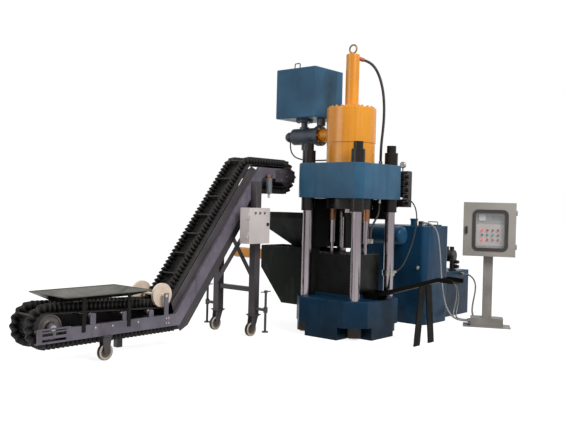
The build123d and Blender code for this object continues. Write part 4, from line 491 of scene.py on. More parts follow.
paintPart("control_box_door", "lockBlack", lambda c, n: c.x > s["boxFront"] and c.z < s["boxLock"])
paintPart("lifting_eyes", "nutSteel", lambda c, n: c.x < s["tankEye"])
# the tray's posts in dark oily steel, and its downward faces darkened with it: painted shade
paintPart("loading_tray", "oilySteel", lambda c, n: c.z < s["trayPost"] or n.z < s["underside"])
paintPart("hose_fittings", "sleeveRed", lambda c, n: c.z > s["sleeve"])
print("kept nodes painted")


def linkPiece(name, mesh, slotName, body="machine", replaced=()):
    piece = newObject(name, mesh)
    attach(piece, body)
    if replaced:
        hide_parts(*replaced)
    return piece


# hoses and conduits: a route with a node is the one that its CAD tube follows
blackHose = {"lay": "hanging", "finish": "hoseBlack", "slot": "hose_black"}
ribbed = {"lay": "loose", "finish": "conduitGrey", "slot": "conduit_grey", "ribPitch": 0.008}
hoseSet = {
    "topHose": {
        **blackHose, "node": "top_hose", "diameter": 0.030, "length": 1.230,
        "route": [(0.067, 0.111, 3.025), (0.098, 0.163, 3.012), (0.131, 0.218, 2.972), (0.158, 0.262, 2.905),
                  (0.181, 0.301, 2.805), (0.199, 0.332, 2.660), (0.206, 0.344, 2.465), (0.201, 0.335, 2.270),
                  (0.190, 0.318, 2.086), (0.190, 0.318, 1.910)]},
    "pressHose": {
        **blackHose, "node": "press_hose", "diameter": 0.024, "length": 0.429,
        "route": [(0.300, 0.140, 1.440), (0.300, 0.140, 1.375), (0.299, 0.121, 1.308), (0.295, 0.072, 1.250),
                  (0.291, 0.019, 1.182), (0.290, 0.0, 1.115), (0.290, 0.0, 1.050)]},
    "signalCable": {
        **blackHose, "node": "signal_cable", "diameter": 0.014, "length": 0.993,
        "route": [(0.420, 0.420, 1.500), (0.454, 0.454, 1.500), (0.480, 0.497, 1.482), (0.497, 0.535, 1.448),
                  (0.507, 0.566, 1.400), (0.512, 0.585, 1.340), (0.513, 0.592, 1.270), (0.510, 0.586, 1.190),
                  (0.503, 0.570, 1.105), (0.493, 0.545, 1.015), (0.480, 0.512, 0.925), (0.465, 0.474, 0.840),
                  (0.448, 0.434, 0.765), (0.424, 0.398, 0.715), (0.396, 0.372, 0.692)]},
    "tankConduit": {
        **ribbed, "node": "conduit_1", "diameter": 0.024, "length": 1.502, "ribDepth": 0.0014,
        "route": [(0.250, 1.210, 1.222), (0.312, 1.210, 1.222), (0.369, 1.213, 1.199), (0.414, 1.218, 1.156),
                  (0.442, 1.226, 1.092), (0.451, 1.238, 1.007), (0.450, 1.264, 0.915), (0.444, 1.298, 0.800),
                  (0.436, 1.335, 0.670), (0.430, 1.370, 0.540), (0.430, 1.405, 0.410), (0.440, 1.432, 0.290),
                  (0.462, 1.458, 0.190), (0.500, 1.484, 0.115), (0.552, 1.509, 0.068), (0.612, 1.537, 0.050),
                  (0.688, 1.57407, 0.050)]},
    "pumpConduit": {
        **ribbed, "node": "conduit_2", "diameter": 0.024, "length": 1.098, "ribDepth": 0.0014,
        "route": [(0.240, 2.330, 0.540), (0.302, 2.330, 0.540), (0.359, 2.327, 0.517), (0.404, 2.320, 0.474),
                  (0.432, 2.308, 0.414), (0.440, 2.288, 0.336), (0.440, 2.256, 0.256), (0.446, 2.214, 0.186),
                  (0.462, 2.164, 0.128), (0.490, 2.106, 0.086), (0.530, 2.040, 0.056), (0.580, 1.970, 0.042),
                  (0.634, 1.893, 0.044), (0.684, 1.806, 0.050), (0.71912, 1.734, 0.050)]},
    "frontConduit": {
        **ribbed, "diameter": 0.020, "length": 0.900, "ribDepth": 0.0012,
        "route": [(0.196, 1.860, 0.500), (0.262, 1.860, 0.500), (0.319, 1.859, 0.478), (0.362, 1.857, 0.434),
                  (0.388, 1.852, 0.372), (0.400, 1.838, 0.300), (0.406, 1.806, 0.225), (0.415, 1.757, 0.160),
                  (0.431, 1.698, 0.108), (0.460, 1.644, 0.072), (0.504, 1.602, 0.054), (0.562, 1.582, 0.050),
                  (0.628, 1.606, 0.050), (0.6893, 1.636, 0.050)]},
    "backConduit": {
        **ribbed, "diameter": 0.020, "length": 0.864, "ribDepth": 0.0012,
        "route": [(0.196, 1.930, 0.470), (0.262, 1.930, 0.470), (0.316, 1.929, 0.448), (0.356, 1.926, 0.404),
                  (0.380, 1.918, 0.345), (0.394, 1.902, 0.278), (0.404, 1.872, 0.210), (0.416, 1.826, 0.150),
                  (0.434, 1.770, 0.102), (0.460, 1.714, 0.069), (0.498, 1.668, 0.053), (0.549, 1.636, 0.050),
                  (0.610, 1.631, 0.050), (0.6762, 1.6629, 0.050)]},
    "ballCable": {
        **blackHose, "diameter": 0.016, "length": 0.752,
        "route": [(-0.866, 0.0, 2.145), (-0.866, 0.0, 2.085), (-0.845, -0.005, 2.020),
                  (-0.790, -0.015, 1.965), (-0.700, -0.030, 1.935), (-0.600, -0.040, 1.920),
                  (-0.480, -0.050, 1.912), (-0.360, -0.060, 1.910), (-0.250, -0.060, 1.912)]},
}
tubeSet = {"curveSteps": 10, "roundness": 4, "pointsPerRib": 4.0, "ribbedSides": 14}


def routeCurve(name, route, radius=0.0):
    line = bpy.data.curves.new(name, "CURVE")
    line.dimensions = "3D"
    line.resolution_u = tubeSet["curveSteps"]
    spline = line.splines.new("NURBS")
    spline.points.add(len(route) - 1)
    for point, spot in zip(spline.points, route):
        point.co = (*spot, 1)
    spline.order_u = 3
    spline.use_endpoint_u = True
    line.bevel_depth = radius
    line.bevel_resolution = tubeSet["roundness"]
    line.use_fill_caps = True
    return line


# Geometry Nodes helpers: a tree with named sizes, and its result as a plain mesh
def newTree(name, sizes):
    tree = bpy.data.node_groups.new(name, "GeometryNodeTree")
    face = tree.interface
    face.new_socket("Geometry", in_out="OUTPUT", socket_type="NodeSocketGeometry")
    face.new_socket("Geometry", in_out="INPUT", socket_type="NodeSocketGeometry")
    for label, kind in sizes.items():
        face.new_socket(label, in_out="INPUT", socket_type="NodeSocket" + kind)
    face.new_socket("Material", in_out="INPUT", socket_type="NodeSocketMaterial")
    start = tree.nodes.new("NodeGroupInput")
    end = tree.nodes.new("NodeGroupOutput")
    return tree, start.outputs, end.inputs["Geometry"]


def nodeIn(tree, kind, links=None, **settings):
    node = tree.nodes.new(kind)
    for key, value in settings.items():
        setattr(node, key, value)
    for key, value in (links or {}).items():
        socket = node.inputs[key]
        if isinstance(value, bpy.types.NodeSocket):
            tree.links.new(value, socket)
        else:
            socket.default_value = value
    return node


def calcIn(tree):
    def calc(kind, *values):
        return nodeIn(tree, "ShaderNodeMath", dict(enumerate(values)), operation=kind).outputs[0]
    return calc


def vectorIn(tree):
    def vector(kind, *values):
        return nodeIn(tree, "ShaderNodeVectorMath", dict(enumerate(values)), operation=kind).outputs[0]
    return vector


def lastSteps(tree, geometry, start, end):
    real = nodeIn(tree, "GeometryNodeRealizeInstances", {"Geometry": geometry})
    painted = nodeIn(tree, "GeometryNodeSetMaterial", {
        "Geometry": real.outputs[0], "Material": start["Material"]})
    tree.links.new(painted.outputs[0], end)


# an object's mesh after its modifiers; the object itself goes
def shaped(maker):
    bpy.context.view_layer.update()
    ready = maker.evaluated_get(bpy.context.evaluated_depsgraph_get())
    mesh = bpy.data.meshes.new_from_object(ready)
    bpy.data.objects.remove(maker)
    return mesh


def grow(tree, source, sizes, finishName, name):
    maker = newObject(name + "Maker", source)
    mod = maker.modifiers.new("grow", "NODES")
    mod.node_group = tree
    values = dict(sizes, Material=finishes[finishName])
    for item in tree.interface.items_tree:
        if item.in_out == "INPUT" and item.name in values:
            mod[item.identifier] = values[item.name]
    mesh = shaped(maker)
    mesh.name = name
    tidy = bmesh.new()
    tidy.from_mesh(mesh)
    bmesh.ops.recalc_face_normals(tidy, faces=tidy.faces)
    tidy.to_mesh(mesh)
    tidy.free()
    return mesh


def ribbedTree():
    tree, start, end = newTree("ribbedConduit", {
        "Radius": "Float", "Rib pitch": "Float", "Rib depth": "Float"})
    calc = calcIn(tree)
    step = calc("DIVIDE", start["Rib pitch"], tubeSet["pointsPerRib"])
    fine = nodeIn(tree, "GeometryNodeResampleCurve", {"Curve": start["Geometry"], "Length": step},
                  mode="LENGTH")
    along = nodeIn(tree, "GeometryNodeSplineParameter").outputs["Length"]
    angle = calc("MULTIPLY", calc("DIVIDE", along, start["Rib pitch"]), math.tau)
    lift = calc("MULTIPLY", calc("COSINE", angle), start["Rib depth"])
    ring = nodeIn(tree, "GeometryNodeCurvePrimitiveCircle", {
        "Resolution": tubeSet["ribbedSides"], "Radius": 1.0})
    tube = nodeIn(tree, "GeometryNodeCurveToMesh", {
        "Curve": fine.outputs[0], "Profile Curve": ring.outputs[0],
        "Scale": calc("ADD", lift, start["Radius"]), "Fill Caps": True})
    smooth = nodeIn(tree, "GeometryNodeSetShadeSmooth", {0: tube.outputs[0]})
    lastSteps(tree, smooth.outputs[0], start, end)
    return tree


def routePoints(line):
    mesh = shaped(newObject("routeReader", line))
    points = [tuple(v.co) for v in mesh.vertices]
    bpy.data.meshes.remove(mesh)
    return points


conduitTree = ribbedTree()
for hoseName, s in hoseSet.items():
    replaced = [s["node"]] if "node" in s else []
    if "ribPitch" in s:
        line = routeCurve(hoseName + "Line", s["route"])
        path = routePoints(line)
        sizes = {"Radius": s["diameter"] / 2 - s["ribDepth"], "Rib pitch": s["ribPitch"],
                 "Rib depth": s["ribDepth"]}
        mesh = grow(conduitTree, line, sizes, s["finish"], hoseName)
        hose = linkPiece(hoseName, mesh, s["slot"], replaced=replaced)
    else:
        line = routeCurve(hoseName, s["route"], s["diameter"] / 2)
        line.materials.append(finishes[s["finish"]])
        path = None
        hose = linkPiece(hoseName, line, s["slot"], replaced=replaced)
    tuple(s["route"][0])
print("hoses and conduits laid")


# grown sheets get their thickness from a Solidify step
def thicken(mesh, amount):
    maker = newObject(mesh.name + "Maker", mesh)
    shell = maker.modifiers.new("shell", "SOLIDIFY")
    shell.thickness = amount
    shell.offset = 0
    thick = shaped(maker)
    thick.name = mesh.name
    bpy.data.meshes.remove(mesh)
    return thick


# sidewall belt; turns are the circles that its inner face rounds, as (y, z, radius), tail first,
# with a minus where it bends the other way
beltSet = {
    "turns": [(-3.290, 0.341, 0.1086), (-2.085, 0.513, -0.1226), (-0.860, 1.713, 0.1086),
              (-0.300, 1.713, 0.1086), (-0.7455, 1.4818, -0.1226), (-1.905, 0.341, 0.1086)],
    "middle": -0.83, "arcStep": 0.12, "sheet": 0.006, "bandHalf": 0.175, "bandRise": 0.004,
    "wallMiddle": 0.110, "wallLow": 0.008, "wallHigh": 0.085, "wavePitch": 0.045, "wave": 0.016,
    "wavePoints": 8.0, "seam": 0.0004,
    "cleatPitch": 0.25, "cleatSize": (0.19, 0.012, 0.062), "cleatRise": 0.038,
}


def beltLine(s):
    turns = [(Vector((y, z)), r) for y, z, r in s["turns"]]
    outs = []
    for (here, r), (there, nextR) in zip(turns, turns[1:] + turns[:1]):
        span = there - here
        outs.append(math.atan2(span.y, span.x) - math.asin((r - nextR) / span.length) + math.pi / 2)
    points = []
    for index, (center, r) in enumerate(turns):
        first, last = outs[index - 1], outs[index]
        sweep = -((first - last) % math.tau) if r > 0 else (last - first) % math.tau
        steps = max(3, round(abs(sweep) / s["arcStep"]))
        for step in range(steps + 1):
            angle = first + sweep * step / steps
            points.append(center + Vector((math.cos(angle), math.sin(angle))) * r)
    line = bpy.data.curves.new("beltLine", "CURVE")
    line.dimensions = "3D"
    spline = line.splines.new("POLY")
    spline.points.add(len(points) - 1)
    for point, spot in zip(spline.points, points):
        point.co = (s["middle"], spot.x, spot.y, 1)
    spline.use_cyclic_u = True
    return line


# three strips laid along the loop: two waved walls and the flat band
def beltTree():
    tree, start, end = newTree("sidewallBelt", {
        "Wave pitch": "Float", "Wave": "Float", "Band half": "Float", "Band rise": "Float",
        "Wall middle": "Float", "Wall low": "Float", "Wall high": "Float"})
    calc, vector = calcIn(tree), vectorIn(tree)
    total = nodeIn(tree, "GeometryNodeCurveLength", {"Curve": start["Geometry"]}).outputs[0]
    waves = calc("ROUND", calc("DIVIDE", total, start["Wave pitch"]))
    columns = calc("MULTIPLY_ADD", waves, beltSet["wavePoints"], 1.0)
    grid = nodeIn(tree, "GeometryNodeMeshGrid", {
        "Size X": total, "Size Y": 1.0, "Vertices X": columns, "Vertices Y": 2})
    flat = nodeIn(tree, "ShaderNodeSeparateXYZ", {0: nodeIn(tree, "GeometryNodeInputPosition").outputs[0]})
    run = calc("MULTIPLY_ADD", total, 0.5, flat.outputs[0])
    share = calc("ADD", flat.outputs[1], 0.5)
    at = nodeIn(tree, "GeometryNodeSampleCurve", {"Curves": start["Geometry"], "Length": run},
                mode="LENGTH")
    outward = vector("CROSS_PRODUCT", (1, 0, 0), at.outputs["Tangent"])
    angle = calc("MULTIPLY", calc("DIVIDE", calc("MULTIPLY", run, waves), total), math.tau)
    sway = calc("MULTIPLY", calc("SINE", angle), start["Wave"])
    height = calc("SUBTRACT", start["Wall high"], start["Wall low"])
    wallRise = calc("MULTIPLY_ADD", share, height, start["Wall low"])
    strips = [(calc("MULTIPLY_ADD", start["Wall middle"], side, sway), wallRise) for side in (-1.0, 1.0)]
    bandWide = calc("MULTIPLY", start["Band half"], 2.0)
    strips.append((calc("MULTIPLY", flat.outputs[1], bandWide), start["Band rise"]))
    both = nodeIn(tree, "GeometryNodeJoinGeometry")
    for sideways, rise in strips:
        lift = nodeIn(tree, "ShaderNodeVectorMath", {0: outward, "Scale": rise}, operation="SCALE")
        shift = nodeIn(tree, "ShaderNodeCombineXYZ", {0: sideways})
        spot = vector("ADD", vector("ADD", lift.outputs[0], shift.outputs[0]), at.outputs["Position"])
        strip = nodeIn(tree, "GeometryNodeSetPosition", {"Geometry": grid.outputs["Mesh"], "Position": spot})
        tree.links.new(strip.outputs[0], both.inputs[0])
    closed = nodeIn(tree, "GeometryNodeMergeByDistance", {
        "Geometry": both.outputs[0], "Distance": beltSet["seam"]})
    smooth = nodeIn(tree, "GeometryNodeSetShadeSmooth", {0: closed.outputs[0]})
    lastSteps(tree, smooth.outputs[0], start, end)
    return tree


def cleatTree():
    tree, start, end = newTree("beltCleats", {"Pitch": "Float", "Size": "Vector", "Rise": "Float"})
    spots = nodeIn(tree, "GeometryNodeCurveToPoints", {
        "Curve": start["Geometry"], "Length": start["Pitch"]}, mode="LENGTH")
    outward = vectorIn(tree)("CROSS_PRODUCT", (1, 0, 0), spots.outputs["Tangent"])
    lift = nodeIn(tree, "ShaderNodeVectorMath", {0: outward, "Scale": start["Rise"]}, operation="SCALE")
    lifted = nodeIn(tree, "GeometryNodeSetPosition", {
        "Geometry": spots.outputs["Points"], "Offset": lift.outputs[0]})
    turn = nodeIn(tree, "FunctionNodeAlignRotationToVector", {"Vector": spots.outputs["Tangent"]},
                  axis="Y", pivot_axis="X")
    bar = nodeIn(tree, "GeometryNodeMeshCube", {"Size": start["Size"]})
    many = nodeIn(tree, "GeometryNodeInstanceOnPoints", {
        "Points": lifted.outputs[0], "Instance": bar.outputs["Mesh"], "Rotation": turn.outputs[0]})
    lastSteps(tree, many.outputs[0], start, end)
    return tree


s = beltSet
beltSizes = {"Wave pitch": s["wavePitch"], "Wave": s["wave"], "Band half": s["bandHalf"],
             "Band rise": s["bandRise"], "Wall middle": s["wallMiddle"], "Wall low": s["wallLow"],
             "Wall high": s["wallHigh"]}
belt = thicken(grow(beltTree(), beltLine(s), beltSizes, "beltRubber", "sidewallBelt"), s["sheet"])
linkPiece("sidewallBelt", belt, "belt_rubber", replaced=["conveyor_belt"])
cleatSizes = {"Pitch": s["cleatPitch"], "Size": s["cleatSize"], "Rise": s["cleatRise"]}
cleats = grow(cleatTree(), beltLine(s), cleatSizes, "beltRubber", "beltCleats")
linkPiece("beltCleats", cleats, "belt_rubber")
print("belt laid with", len(belt.polygons), "faces")


# turned pieces: a closed outline of (radius, along) spun round an axis
latheSet = {"steps": 36, "smallSteps": 28, "weld": 0.00002, "sharp": math.radians(32)}


def lathe(name, outline, center, axis="X", steps=latheSet["steps"]):
    build = bmesh.new()
    ring = [build.verts.new((along, 0, radius)) for radius, along in outline]
    edges = [build.edges.new(pair) for pair in zip(ring, ring[1:] + ring[:1])]
    bmesh.ops.spin(build, geom=ring + edges, axis=(1, 0, 0), cent=(0, 0, 0), angle=math.tau, steps=steps,
                   use_merge=True)
    bmesh.ops.remove_doubles(build, verts=build.verts, dist=latheSet["weld"])
    bmesh.ops.recalc_face_normals(build, faces=build.faces)
    turn = {"X": Matrix(), "Y": Matrix.Rotation(math.pi / 2, 4, "Z"),
            "Z": Matrix.Rotation(-math.pi / 2, 4, "Y")}
    build.transform(Matrix.Translation(center) @ turn[axis])
    mesh = bpy.data.meshes.new(name)
    build.to_mesh(mesh)
    build.free()
    mesh.polygons.foreach_set("use_smooth", [True] * len(mesh.polygons))
    mesh.set_sharp_from_angle(angle=latheSet["sharp"])
    return mesh


# bands are finishes with the radius that each starts at, outermost last
def paintRings(mesh, center, bands):
    for index, (finishName, radius) in enumerate(bands):
        mesh.materials.append(finishes[finishName])
        for face in mesh.polygons:
            off = face.center - Vector(center)
            if math.hypot(off.y, off.z) >= radius:
                face.material_index = index


wheelSet = {
    "half": [(0.0108, 0.025), (0.024, 0.025), (0.026, 0.023), (0.026, 0.013), (0.050, 0.010),
             (0.053, 0.018), (0.066, 0.021), (0.0725, 0.017), (0.075, 0.008)],
    "rimFrom": 0.0505, "treadFrom": 0.0715,
    "places": {"front_wheel": ("front_wheel_body", (-0.625, -2.761, 0.075)),
               "rear_wheel_near": ("wheel_near", (-0.565, -0.950, 0.075)),
               "rear_wheel_far": ("wheel_far", (-1.095, -0.950, 0.075))},
}
s = wheelSet
wheelOutline = [(radius, -along) for radius, along in s["half"]] + s["half"][::-1]
wheelBands = [("wheelHub", 0), ("wheelCream", s["rimFrom"]), ("treadDark", s["treadFrom"])]
for nodeName, (body, center) in s["places"].items():
    mesh = lathe(nodeName + "Turned", wheelOutline, center)
    paintRings(mesh, center, wheelBands)
    linkPiece(nodeName + "Turned", mesh, "wheel_cream", body, [nodeName])
print("castor wheels turned")


# bolt heads: one loose point for each, with the way it faces and its size
headSet = {"washerSides": 14, "washerDepth": 0.3, "crownTop": 0.78, "crownDepth": 0.14}


def boltTree(s):
    tree, start, end = newTree("boltField", {"Sides": "Int", "Head height": "Float", "Washer": "Float"})
    calc = calcIn(tree)
    aim = nodeIn(tree, "GeometryNodeInputNamedAttribute", {"Name": "aim"}, data_type="FLOAT_VECTOR")
    size = nodeIn(tree, "GeometryNodeInputNamedAttribute", {"Name": "size"}, data_type="FLOAT")
    washer = nodeIn(tree, "GeometryNodeMeshCylinder", {
        "Vertices": s["washerSides"], "Radius": start["Washer"], "Depth": s["washerDepth"]})
    head = nodeIn(tree, "GeometryNodeMeshCylinder", {
        "Vertices": start["Sides"], "Radius": 1.0, "Depth": start["Head height"]})
    crown = nodeIn(tree, "GeometryNodeMeshCone", {
        "Vertices": start["Sides"], "Radius Top": s["crownTop"], "Radius Bottom": 1.0,
        "Depth": s["crownDepth"]})
    half = calc("MULTIPLY", start["Head height"], 0.5)
    whole = nodeIn(tree, "GeometryNodeJoinGeometry")
    tree.links.new(washer.outputs["Mesh"], whole.inputs[0])
    for part, height in ((head, half), (crown, start["Head height"])):
        lift = nodeIn(tree, "ShaderNodeCombineXYZ", {2: height})
        raised = nodeIn(tree, "GeometryNodeTransform", {
            "Geometry": part.outputs["Mesh"], "Translation": lift.outputs[0]})
        tree.links.new(raised.outputs[0], whole.inputs[0])
    turn = nodeIn(tree, "FunctionNodeAlignRotationToVector", {"Vector": aim.outputs[0]}, axis="Z")
    many = nodeIn(tree, "GeometryNodeInstanceOnPoints", {
        "Points": start["Geometry"], "Instance": whole.outputs[0], "Rotation": turn.outputs[0],
        "Scale": size.outputs[0]})
    lastSteps(tree, many.outputs[0], start, end)
    return tree


def ringSpots(center, aim, radius, count, turn=0.0):
    aim = Vector(aim)
    first = aim.orthogonal().normalized()
    second = aim.cross(first)
    spots = []
    for index in range(count):
        angle = turn + math.tau * index / count
        spots.append((Vector(center) + (first * math.cos(angle) + second * math.sin(angle)) * radius, aim))
    return spots


def boltPoints(name, fields):
    spots = [(spot, aim, size) for field, size in fields for spot, aim in field]
    mesh = bpy.data.meshes.new(name)
    mesh.from_pydata([spot for spot, aim, size in spots], [], [])
    mesh.attributes.new("aim", "FLOAT_VECTOR", "POINT")
    mesh.attributes.new("size", "FLOAT", "POINT")
    mesh.attributes["aim"].data.foreach_set("vector", [v for spot, aim, size in spots for v in aim])
    mesh.attributes["size"].data.foreach_set("value", [size for spot, aim, size in spots])
    return mesh


def fieldSpots(xs, ys, zs, aim):
    return [(Vector((x, y, z)), Vector(aim)) for x in xs for y in ys for z in zs]


toRight, toLeft, toTop, toFloor = (1, 0, 0), (-1, 0, 0), (0, 0, 1), (0, 0, -1)
coverTop = 2.475
webFace, plateFace = -0.605, -0.595   # near rail's web and its bearing plates
boltSet = {
    "coverScrews": {
        "slot": "cylinder_yellow", "finish": "cylinderYellow", "sides": 16, "height": 1.3, "washer": 0.6,
        "fields": [(ringSpots((0, 0, coverTop), toTop, 0.236, 20), 0.0135),
                   (ringSpots((0, 0, coverTop + 0.028), toTop, 0.095, 8), 0.0105),
                   (ringSpots((-0.404, 0, 2.195), toRight, 0.097, 8), 0.0105)]},
    "machineBolts": {
        "slot": "worn_steel", "finish": "nutSteel", "sides": 6, "height": 0.8, "washer": 1.3,
        "fields": [(ringSpots((-0.456, 0, 2.195), toLeft, 0.105, 8, 0.4), 0.0085),
                   (ringSpots((-0.660, 0, 2.362), toFloor, 0.082, 8), 0.010),
                   (ringSpots((-0.800, 0, 2.195), toLeft, 0.074, 6), 0.009)]},
    "conveyorBolts": {
        "slot": "worn_steel", "finish": "brightSteel", "sides": 6, "height": 0.75, "washer": 1.35,
        "fields": [(ringSpots((plateFace, -0.300, 1.713), toRight, 0.0707, 4, math.pi / 4), 0.0095),
                   (fieldSpots([plateFace], (-0.525, -0.470), (1.672, 1.754), toRight), 0.009),
                   (fieldSpots([webFace], (-2.085, -2.055), (0.255, 0.300), toRight), 0.008),
                   (fieldSpots([webFace], (-2.88, -2.70, -2.42), [0.300], toRight), 0.008)]},
    "mouldStuds": {
        "body": "mould", "slot": "worn_steel", "finish": "nutSteel", "sides": 6, "height": 0.9,
        "washer": 1.25,
        "fields": [(fieldSpots((-0.19, -0.10, 0.10, 0.19), (-0.205, 0.205), [0.880], toTop), 0.017)]},
}
bolts = boltTree(headSet)
for boltName, s in boltSet.items():
    sizes = {"Sides": s["sides"], "Head height": s["height"], "Washer": s["washer"]}
    mesh = grow(bolts, boltPoints(boltName, s["fields"]), sizes, s["finish"], boltName)
    linkPiece(boltName, mesh, s["slot"], s.get("body", "machine"))
print("bolts set")


# closed plates cut from an outline in the (y, z) plane
def plates(name, outlines, thickness, finishName):
    build = bmesh.new()
    for x, outline in outlines:
        near = [build.verts.new((x + thickness / 2, y, z)) for y, z in outline]
        far = [build.verts.new((x - thickness / 2, y, z)) for y, z in outline]
        build.faces.new(near)
        build.faces.new(reversed(far))
        for index in range(len(outline)):
            after = (index + 1) % len(outline)
            build.faces.new((near[index], far[index], far[after], near[after]))
    bmesh.ops.recalc_face_normals(build, faces=build.faces)
    mesh = bpy.data.meshes.new(name)
    build.to_mesh(mesh)
    build.free()
    mesh.materials.append(finishes[finishName])
    return mesh


# side guards that close the incline between rail and belt, idler rollers and their brackets
guardSet = {
    "offset": 0.180, "thickness": 0.004,
    "outline": [(-1.955, 0.335), (-1.987, 0.434), (-0.950, 1.768), (-0.905, 1.800), (-0.835, 1.770),
                (-0.765, 1.520), (-1.770, 0.200), (-1.870, 0.150), (-1.940, 0.250)],
    "farRun": [(-3.120, 0.260), (-3.120, 0.435), (-2.010, 0.385), (-1.990, 0.260)],
}
idlerSet = {
    "places": [(-2.900, 0.4080), (-2.560, 0.3915), (-2.260, 0.3768)], "steps": 20,
    "bracketLow": 0.330, "bracketOver": 0.020, "bracketHalf": 0.027, "bracketThick": 0.012,
    "bracketOffset": 0.212, "corner": 0.012,
    "outline": [(0.009, -0.206), (0.009, -0.172), (0.019, -0.172), (0.021, -0.168), (0.021, 0.168),
                (0.019, 0.172), (0.009, 0.172), (0.009, 0.206), (0.0, 0.206), (0.0, -0.206)],
}
s = guardSet
beltX = beltSet["middle"]
sheets = [(beltX + side * s["offset"], s["outline"]) for side in (-1, 1)]
sheets.append((beltX - s["offset"], s["farRun"]))
linkPiece("sideGuards", plates("sideGuards", sheets, s["thickness"], "standGrey"), "conveyor_grey")
s = idlerSet
brackets = []
for index, (y, z) in enumerate(s["places"]):
    half, cut, low, high = s["bracketHalf"], s["corner"], s["bracketLow"], z + s["bracketOver"]
    shape = [(y - half, low), (y - half, high - cut), (y - half + cut, high), (y + half - cut, high),
             (y + half, high - cut), (y + half, low)]
    brackets += [(beltX + side * s["bracketOffset"], shape) for side in (-1, 1)]
    mesh = lathe("idler" + str(index + 1), s["outline"], (beltX, y, z), steps=s["steps"])
    mesh.materials.append(finishes["brightSteel"])
    linkPiece("idler" + str(index + 1), mesh, "worn_steel")
mesh = plates("idlerBrackets", brackets, s["bracketThick"], "conveyorGrey")
linkPiece("idlerBrackets", mesh, "conveyor_grey")
print("guards and idlers set")

# dark sheets behind the die: a guard outside the two left columns, and outside the far pair a dark sheet that
# stands for the shade among the hoses there (painted shade)
guardAndShadeSheetSet = {
    "face": 0.383, "thickness": 0.004,
    "left": [(-0.325, 0.925), (-0.325, 1.370), (-0.230, 1.370), (-0.230, 1.482), (0.230, 1.482),
             (0.230, 1.370), (0.325, 1.370), (0.325, 0.925)],
    "back": [(-0.230, 1.482), (0.230, 1.482), (0.230, 1.370), (0.325, 1.370), (0.325, 0.925),
             (-0.020, 0.925), (-0.020, 1.260), (-0.230, 1.260)],
}
s = guardAndShadeSheetSet
mesh = plates("leftGuard", [(-s["face"], s["left"])], s["thickness"], "hopperGreen")
linkPiece("leftGuard", mesh, "dark_green")
# the far sheet is painted shade: a dark sheet where there is only shade among hoses
mesh = plates("backShadeSheet", [(s["face"], s["back"])], s["thickness"], "hopperGreen")
mesh.transform(Matrix.Rotation(math.pi / 2, 4, "Z"))
linkPiece("backShadeSheet", mesh, "dark_green")
print("press guards set")

# end discs of the two drums, with a hub ring
discSet = {
    "outline": [(0.041, -0.004), (0.052, -0.010), (0.060, -0.004), (0.090, -0.004), (0.0975, -0.008),
                (0.0975, 0.004), (0.041, 0.004)],
    "places": {"tail_drum_body": (-3.290, 0.341), "head_drum_body": (-0.300, 1.713)}, "offset": 0.160,
}
s = discSet
for body, (y, z) in s["places"].items():
    for side in (-1, 1):
        center = (beltX + side * s["offset"], y, z)
        outline = [(radius, -side * along) for radius, along in s["outline"]]
        name = body.split("_")[0] + ("Near" if side > 0 else "Far") + "Disc"
        mesh = lathe(name, outline, center)
        mesh.materials.append(finishes["drumGrey"])
        linkPiece(name, mesh, "worn_steel", body)
print("drum ends set")


def joinMeshes(name, meshes):
    build = bmesh.new()
    used = []
    for mesh in meshes:
        shift = len(used)
        first = len(build.faces)
        build.from_mesh(mesh)
        build.faces.ensure_lookup_table()
        for face in build.faces[first:]:
            face.material_index += shift
        used += list(mesh.materials)
        bpy.data.meshes.remove(mesh)
    joined = bpy.data.meshes.new(name)
    build.to_mesh(joined)
    build.free()
    for mat in used:
        joined.materials.append(mat)
    return joined


def turned(outline, center, axis, finishName, steps=latheSet["smallSteps"]):
    mesh = lathe("turned", outline, center, axis, steps)
    mesh.materials.append(finishes[finishName])
    return mesh


def roundBar(radius, low, high, edge=0.004):
    return [(0.0, low), (radius - edge, low), (radius, low + edge), (radius, high - edge),
            (radius - edge, high), (0.0, high)]


# belt-run sensor hung on the near rail by the head; the pieces lap a little
sensorSet = {
    "place": (-0.570, -0.700), "low": 1.515, "high": 1.690, "radius": 0.031, "cap": 0.036,
    "capHeight": 0.030, "tip": 0.014, "tipLength": 0.045, "lap": 0.002,
    "pin": 0.010, "pinSpan": (-0.042, -0.026), "pinHeight": 1.700,
}
s = sensorSet
upright = (*s["place"], 0.0)
mesh = joinMeshes("runSensor", [
    turned(roundBar(s["radius"], s["low"], s["high"]), upright, "Z", "motorGrey"),
    turned(roundBar(s["cap"], s["high"] - s["lap"], s["high"] + s["capHeight"]), upright, "Z", "copperCap"),
    turned(roundBar(s["tip"], s["low"] - s["tipLength"], s["low"] + s["lap"]), upright, "Z", "dialWhite"),
    turned(roundBar(s["pin"], *s["pinSpan"]), (*s["place"], s["pinHeight"]), "X", "nutSteel")])
linkPiece("runSensor", mesh, "worn_steel")

# filler plug on the oil tank's front
plugSet = {"place": (0.255, 1.100, 0.685), "radius": 0.024, "depth": 0.016, "stub": 0.0132,
           "stubSpan": (-0.028, -0.014)}
s = plugSet
mesh = joinMeshes("tankPlug", [
    turned(roundBar(s["radius"], -s["depth"], 0.0), s["place"], "Y", "brightSteel"),
    turned(roundBar(s["stub"], *s["stubSpan"]), s["place"], "Y", "brightSteel")])
linkPiece("tankPlug", mesh, "worn_steel")

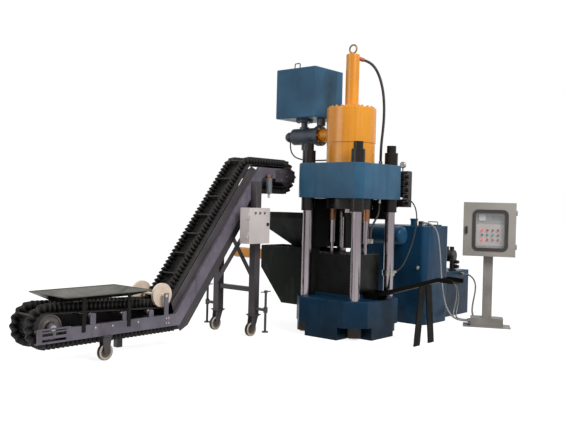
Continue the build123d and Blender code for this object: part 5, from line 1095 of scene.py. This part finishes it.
# relief valve at the pump's outlet: body, cap and foot, then two arms with a nut on each
reliefSet = {
    "place": (0.130, 2.230),
    "barrels": [(0.036, 0.584, 0.730), (0.0198, 0.728, 0.790), (0.054, 0.584, 0.600)],
    "arms": (0.640, 0.700), "arm": (0.022, 0.0, 0.095), "nut": (0.028, 0.040, 0.066),
}
s = reliefSet
parts = [turned(roundBar(*barrel), (*s["place"], 0.0), "Z", "valveBrown") for barrel in s["barrels"]]
for height in s["arms"]:
    parts.append(turned(roundBar(*s["arm"]), (*s["place"], height), "X", "valveBrown"))
    parts.append(turned(roundBar(*s["nut"]), (*s["place"], height), "X", "nutSteel"))
linkPiece("reliefValve", joinMeshes("reliefValve", parts), "black_steel")

# manifold behind the solenoids, with a second gauge on it
manifoldSet = {
    "middle": 0.330, "width": 0.130,
    "outline": [(0.559, 1.405), (0.559, 1.800), (0.572, 1.815), (0.652, 1.815), (0.665, 1.800),
                (0.665, 1.405)],
    "gauge": (0.300, 0.620, 1.887), "case": (0.038, -0.014, 0.014), "dial": (0.03116, -0.016, -0.013, 0.001),
    "stem": (0.008, 1.810, 1.856), "stemSteps": 16,
}
s = manifoldSet
mesh = joinMeshes("valveManifold", [
    plates("manifold", [(s["middle"], s["outline"])], s["width"], "valveBrown"),
    turned(roundBar(*s["stem"]), (*s["gauge"][:2], 0.0), "Z", "brightSteel", s["stemSteps"]),
    turned(roundBar(*s["case"]), s["gauge"], "Y", "brightSteel"),
    turned(roundBar(*s["dial"]), s["gauge"], "Y", "dialWhite")])
linkPiece("valveManifold", mesh, "black_steel")

# glands where the two extra conduits leave the plinth and enter the pedestal's channel
glandSet = {
    "outline": [(0.0105, 0.0), (0.021, 0.0), (0.021, 0.014), (0.017, 0.018), (0.013, 0.040), (0.0105, 0.040)],
    "plinth": [(0.200, 1.860, 0.500), (0.200, 1.930, 0.470)], "steps": 20,
    "channel": [(-0.188, 0.205, 0.050), (-0.188, 0.236, 0.050)],
}
s = glandSet
parts = [turned(s["outline"], place, "X", "nutSteel", s["steps"]) for place in s["plinth"]]
onFoot = Matrix.Translation(pedestal["corner"]) @ Matrix.Rotation(pedestal["turn"], 4, "Z")
mirrored = [(radius, -along) for radius, along in s["outline"]]
for place in s["channel"]:
    mesh = turned(mirrored, place, "X", "nutSteel", s["steps"])
    mesh.transform(onFoot)
    parts.append(mesh)
linkPiece("conduitGlands", joinMeshes("conduitGlands", parts), "fitting_steel")
print("small fittings set")
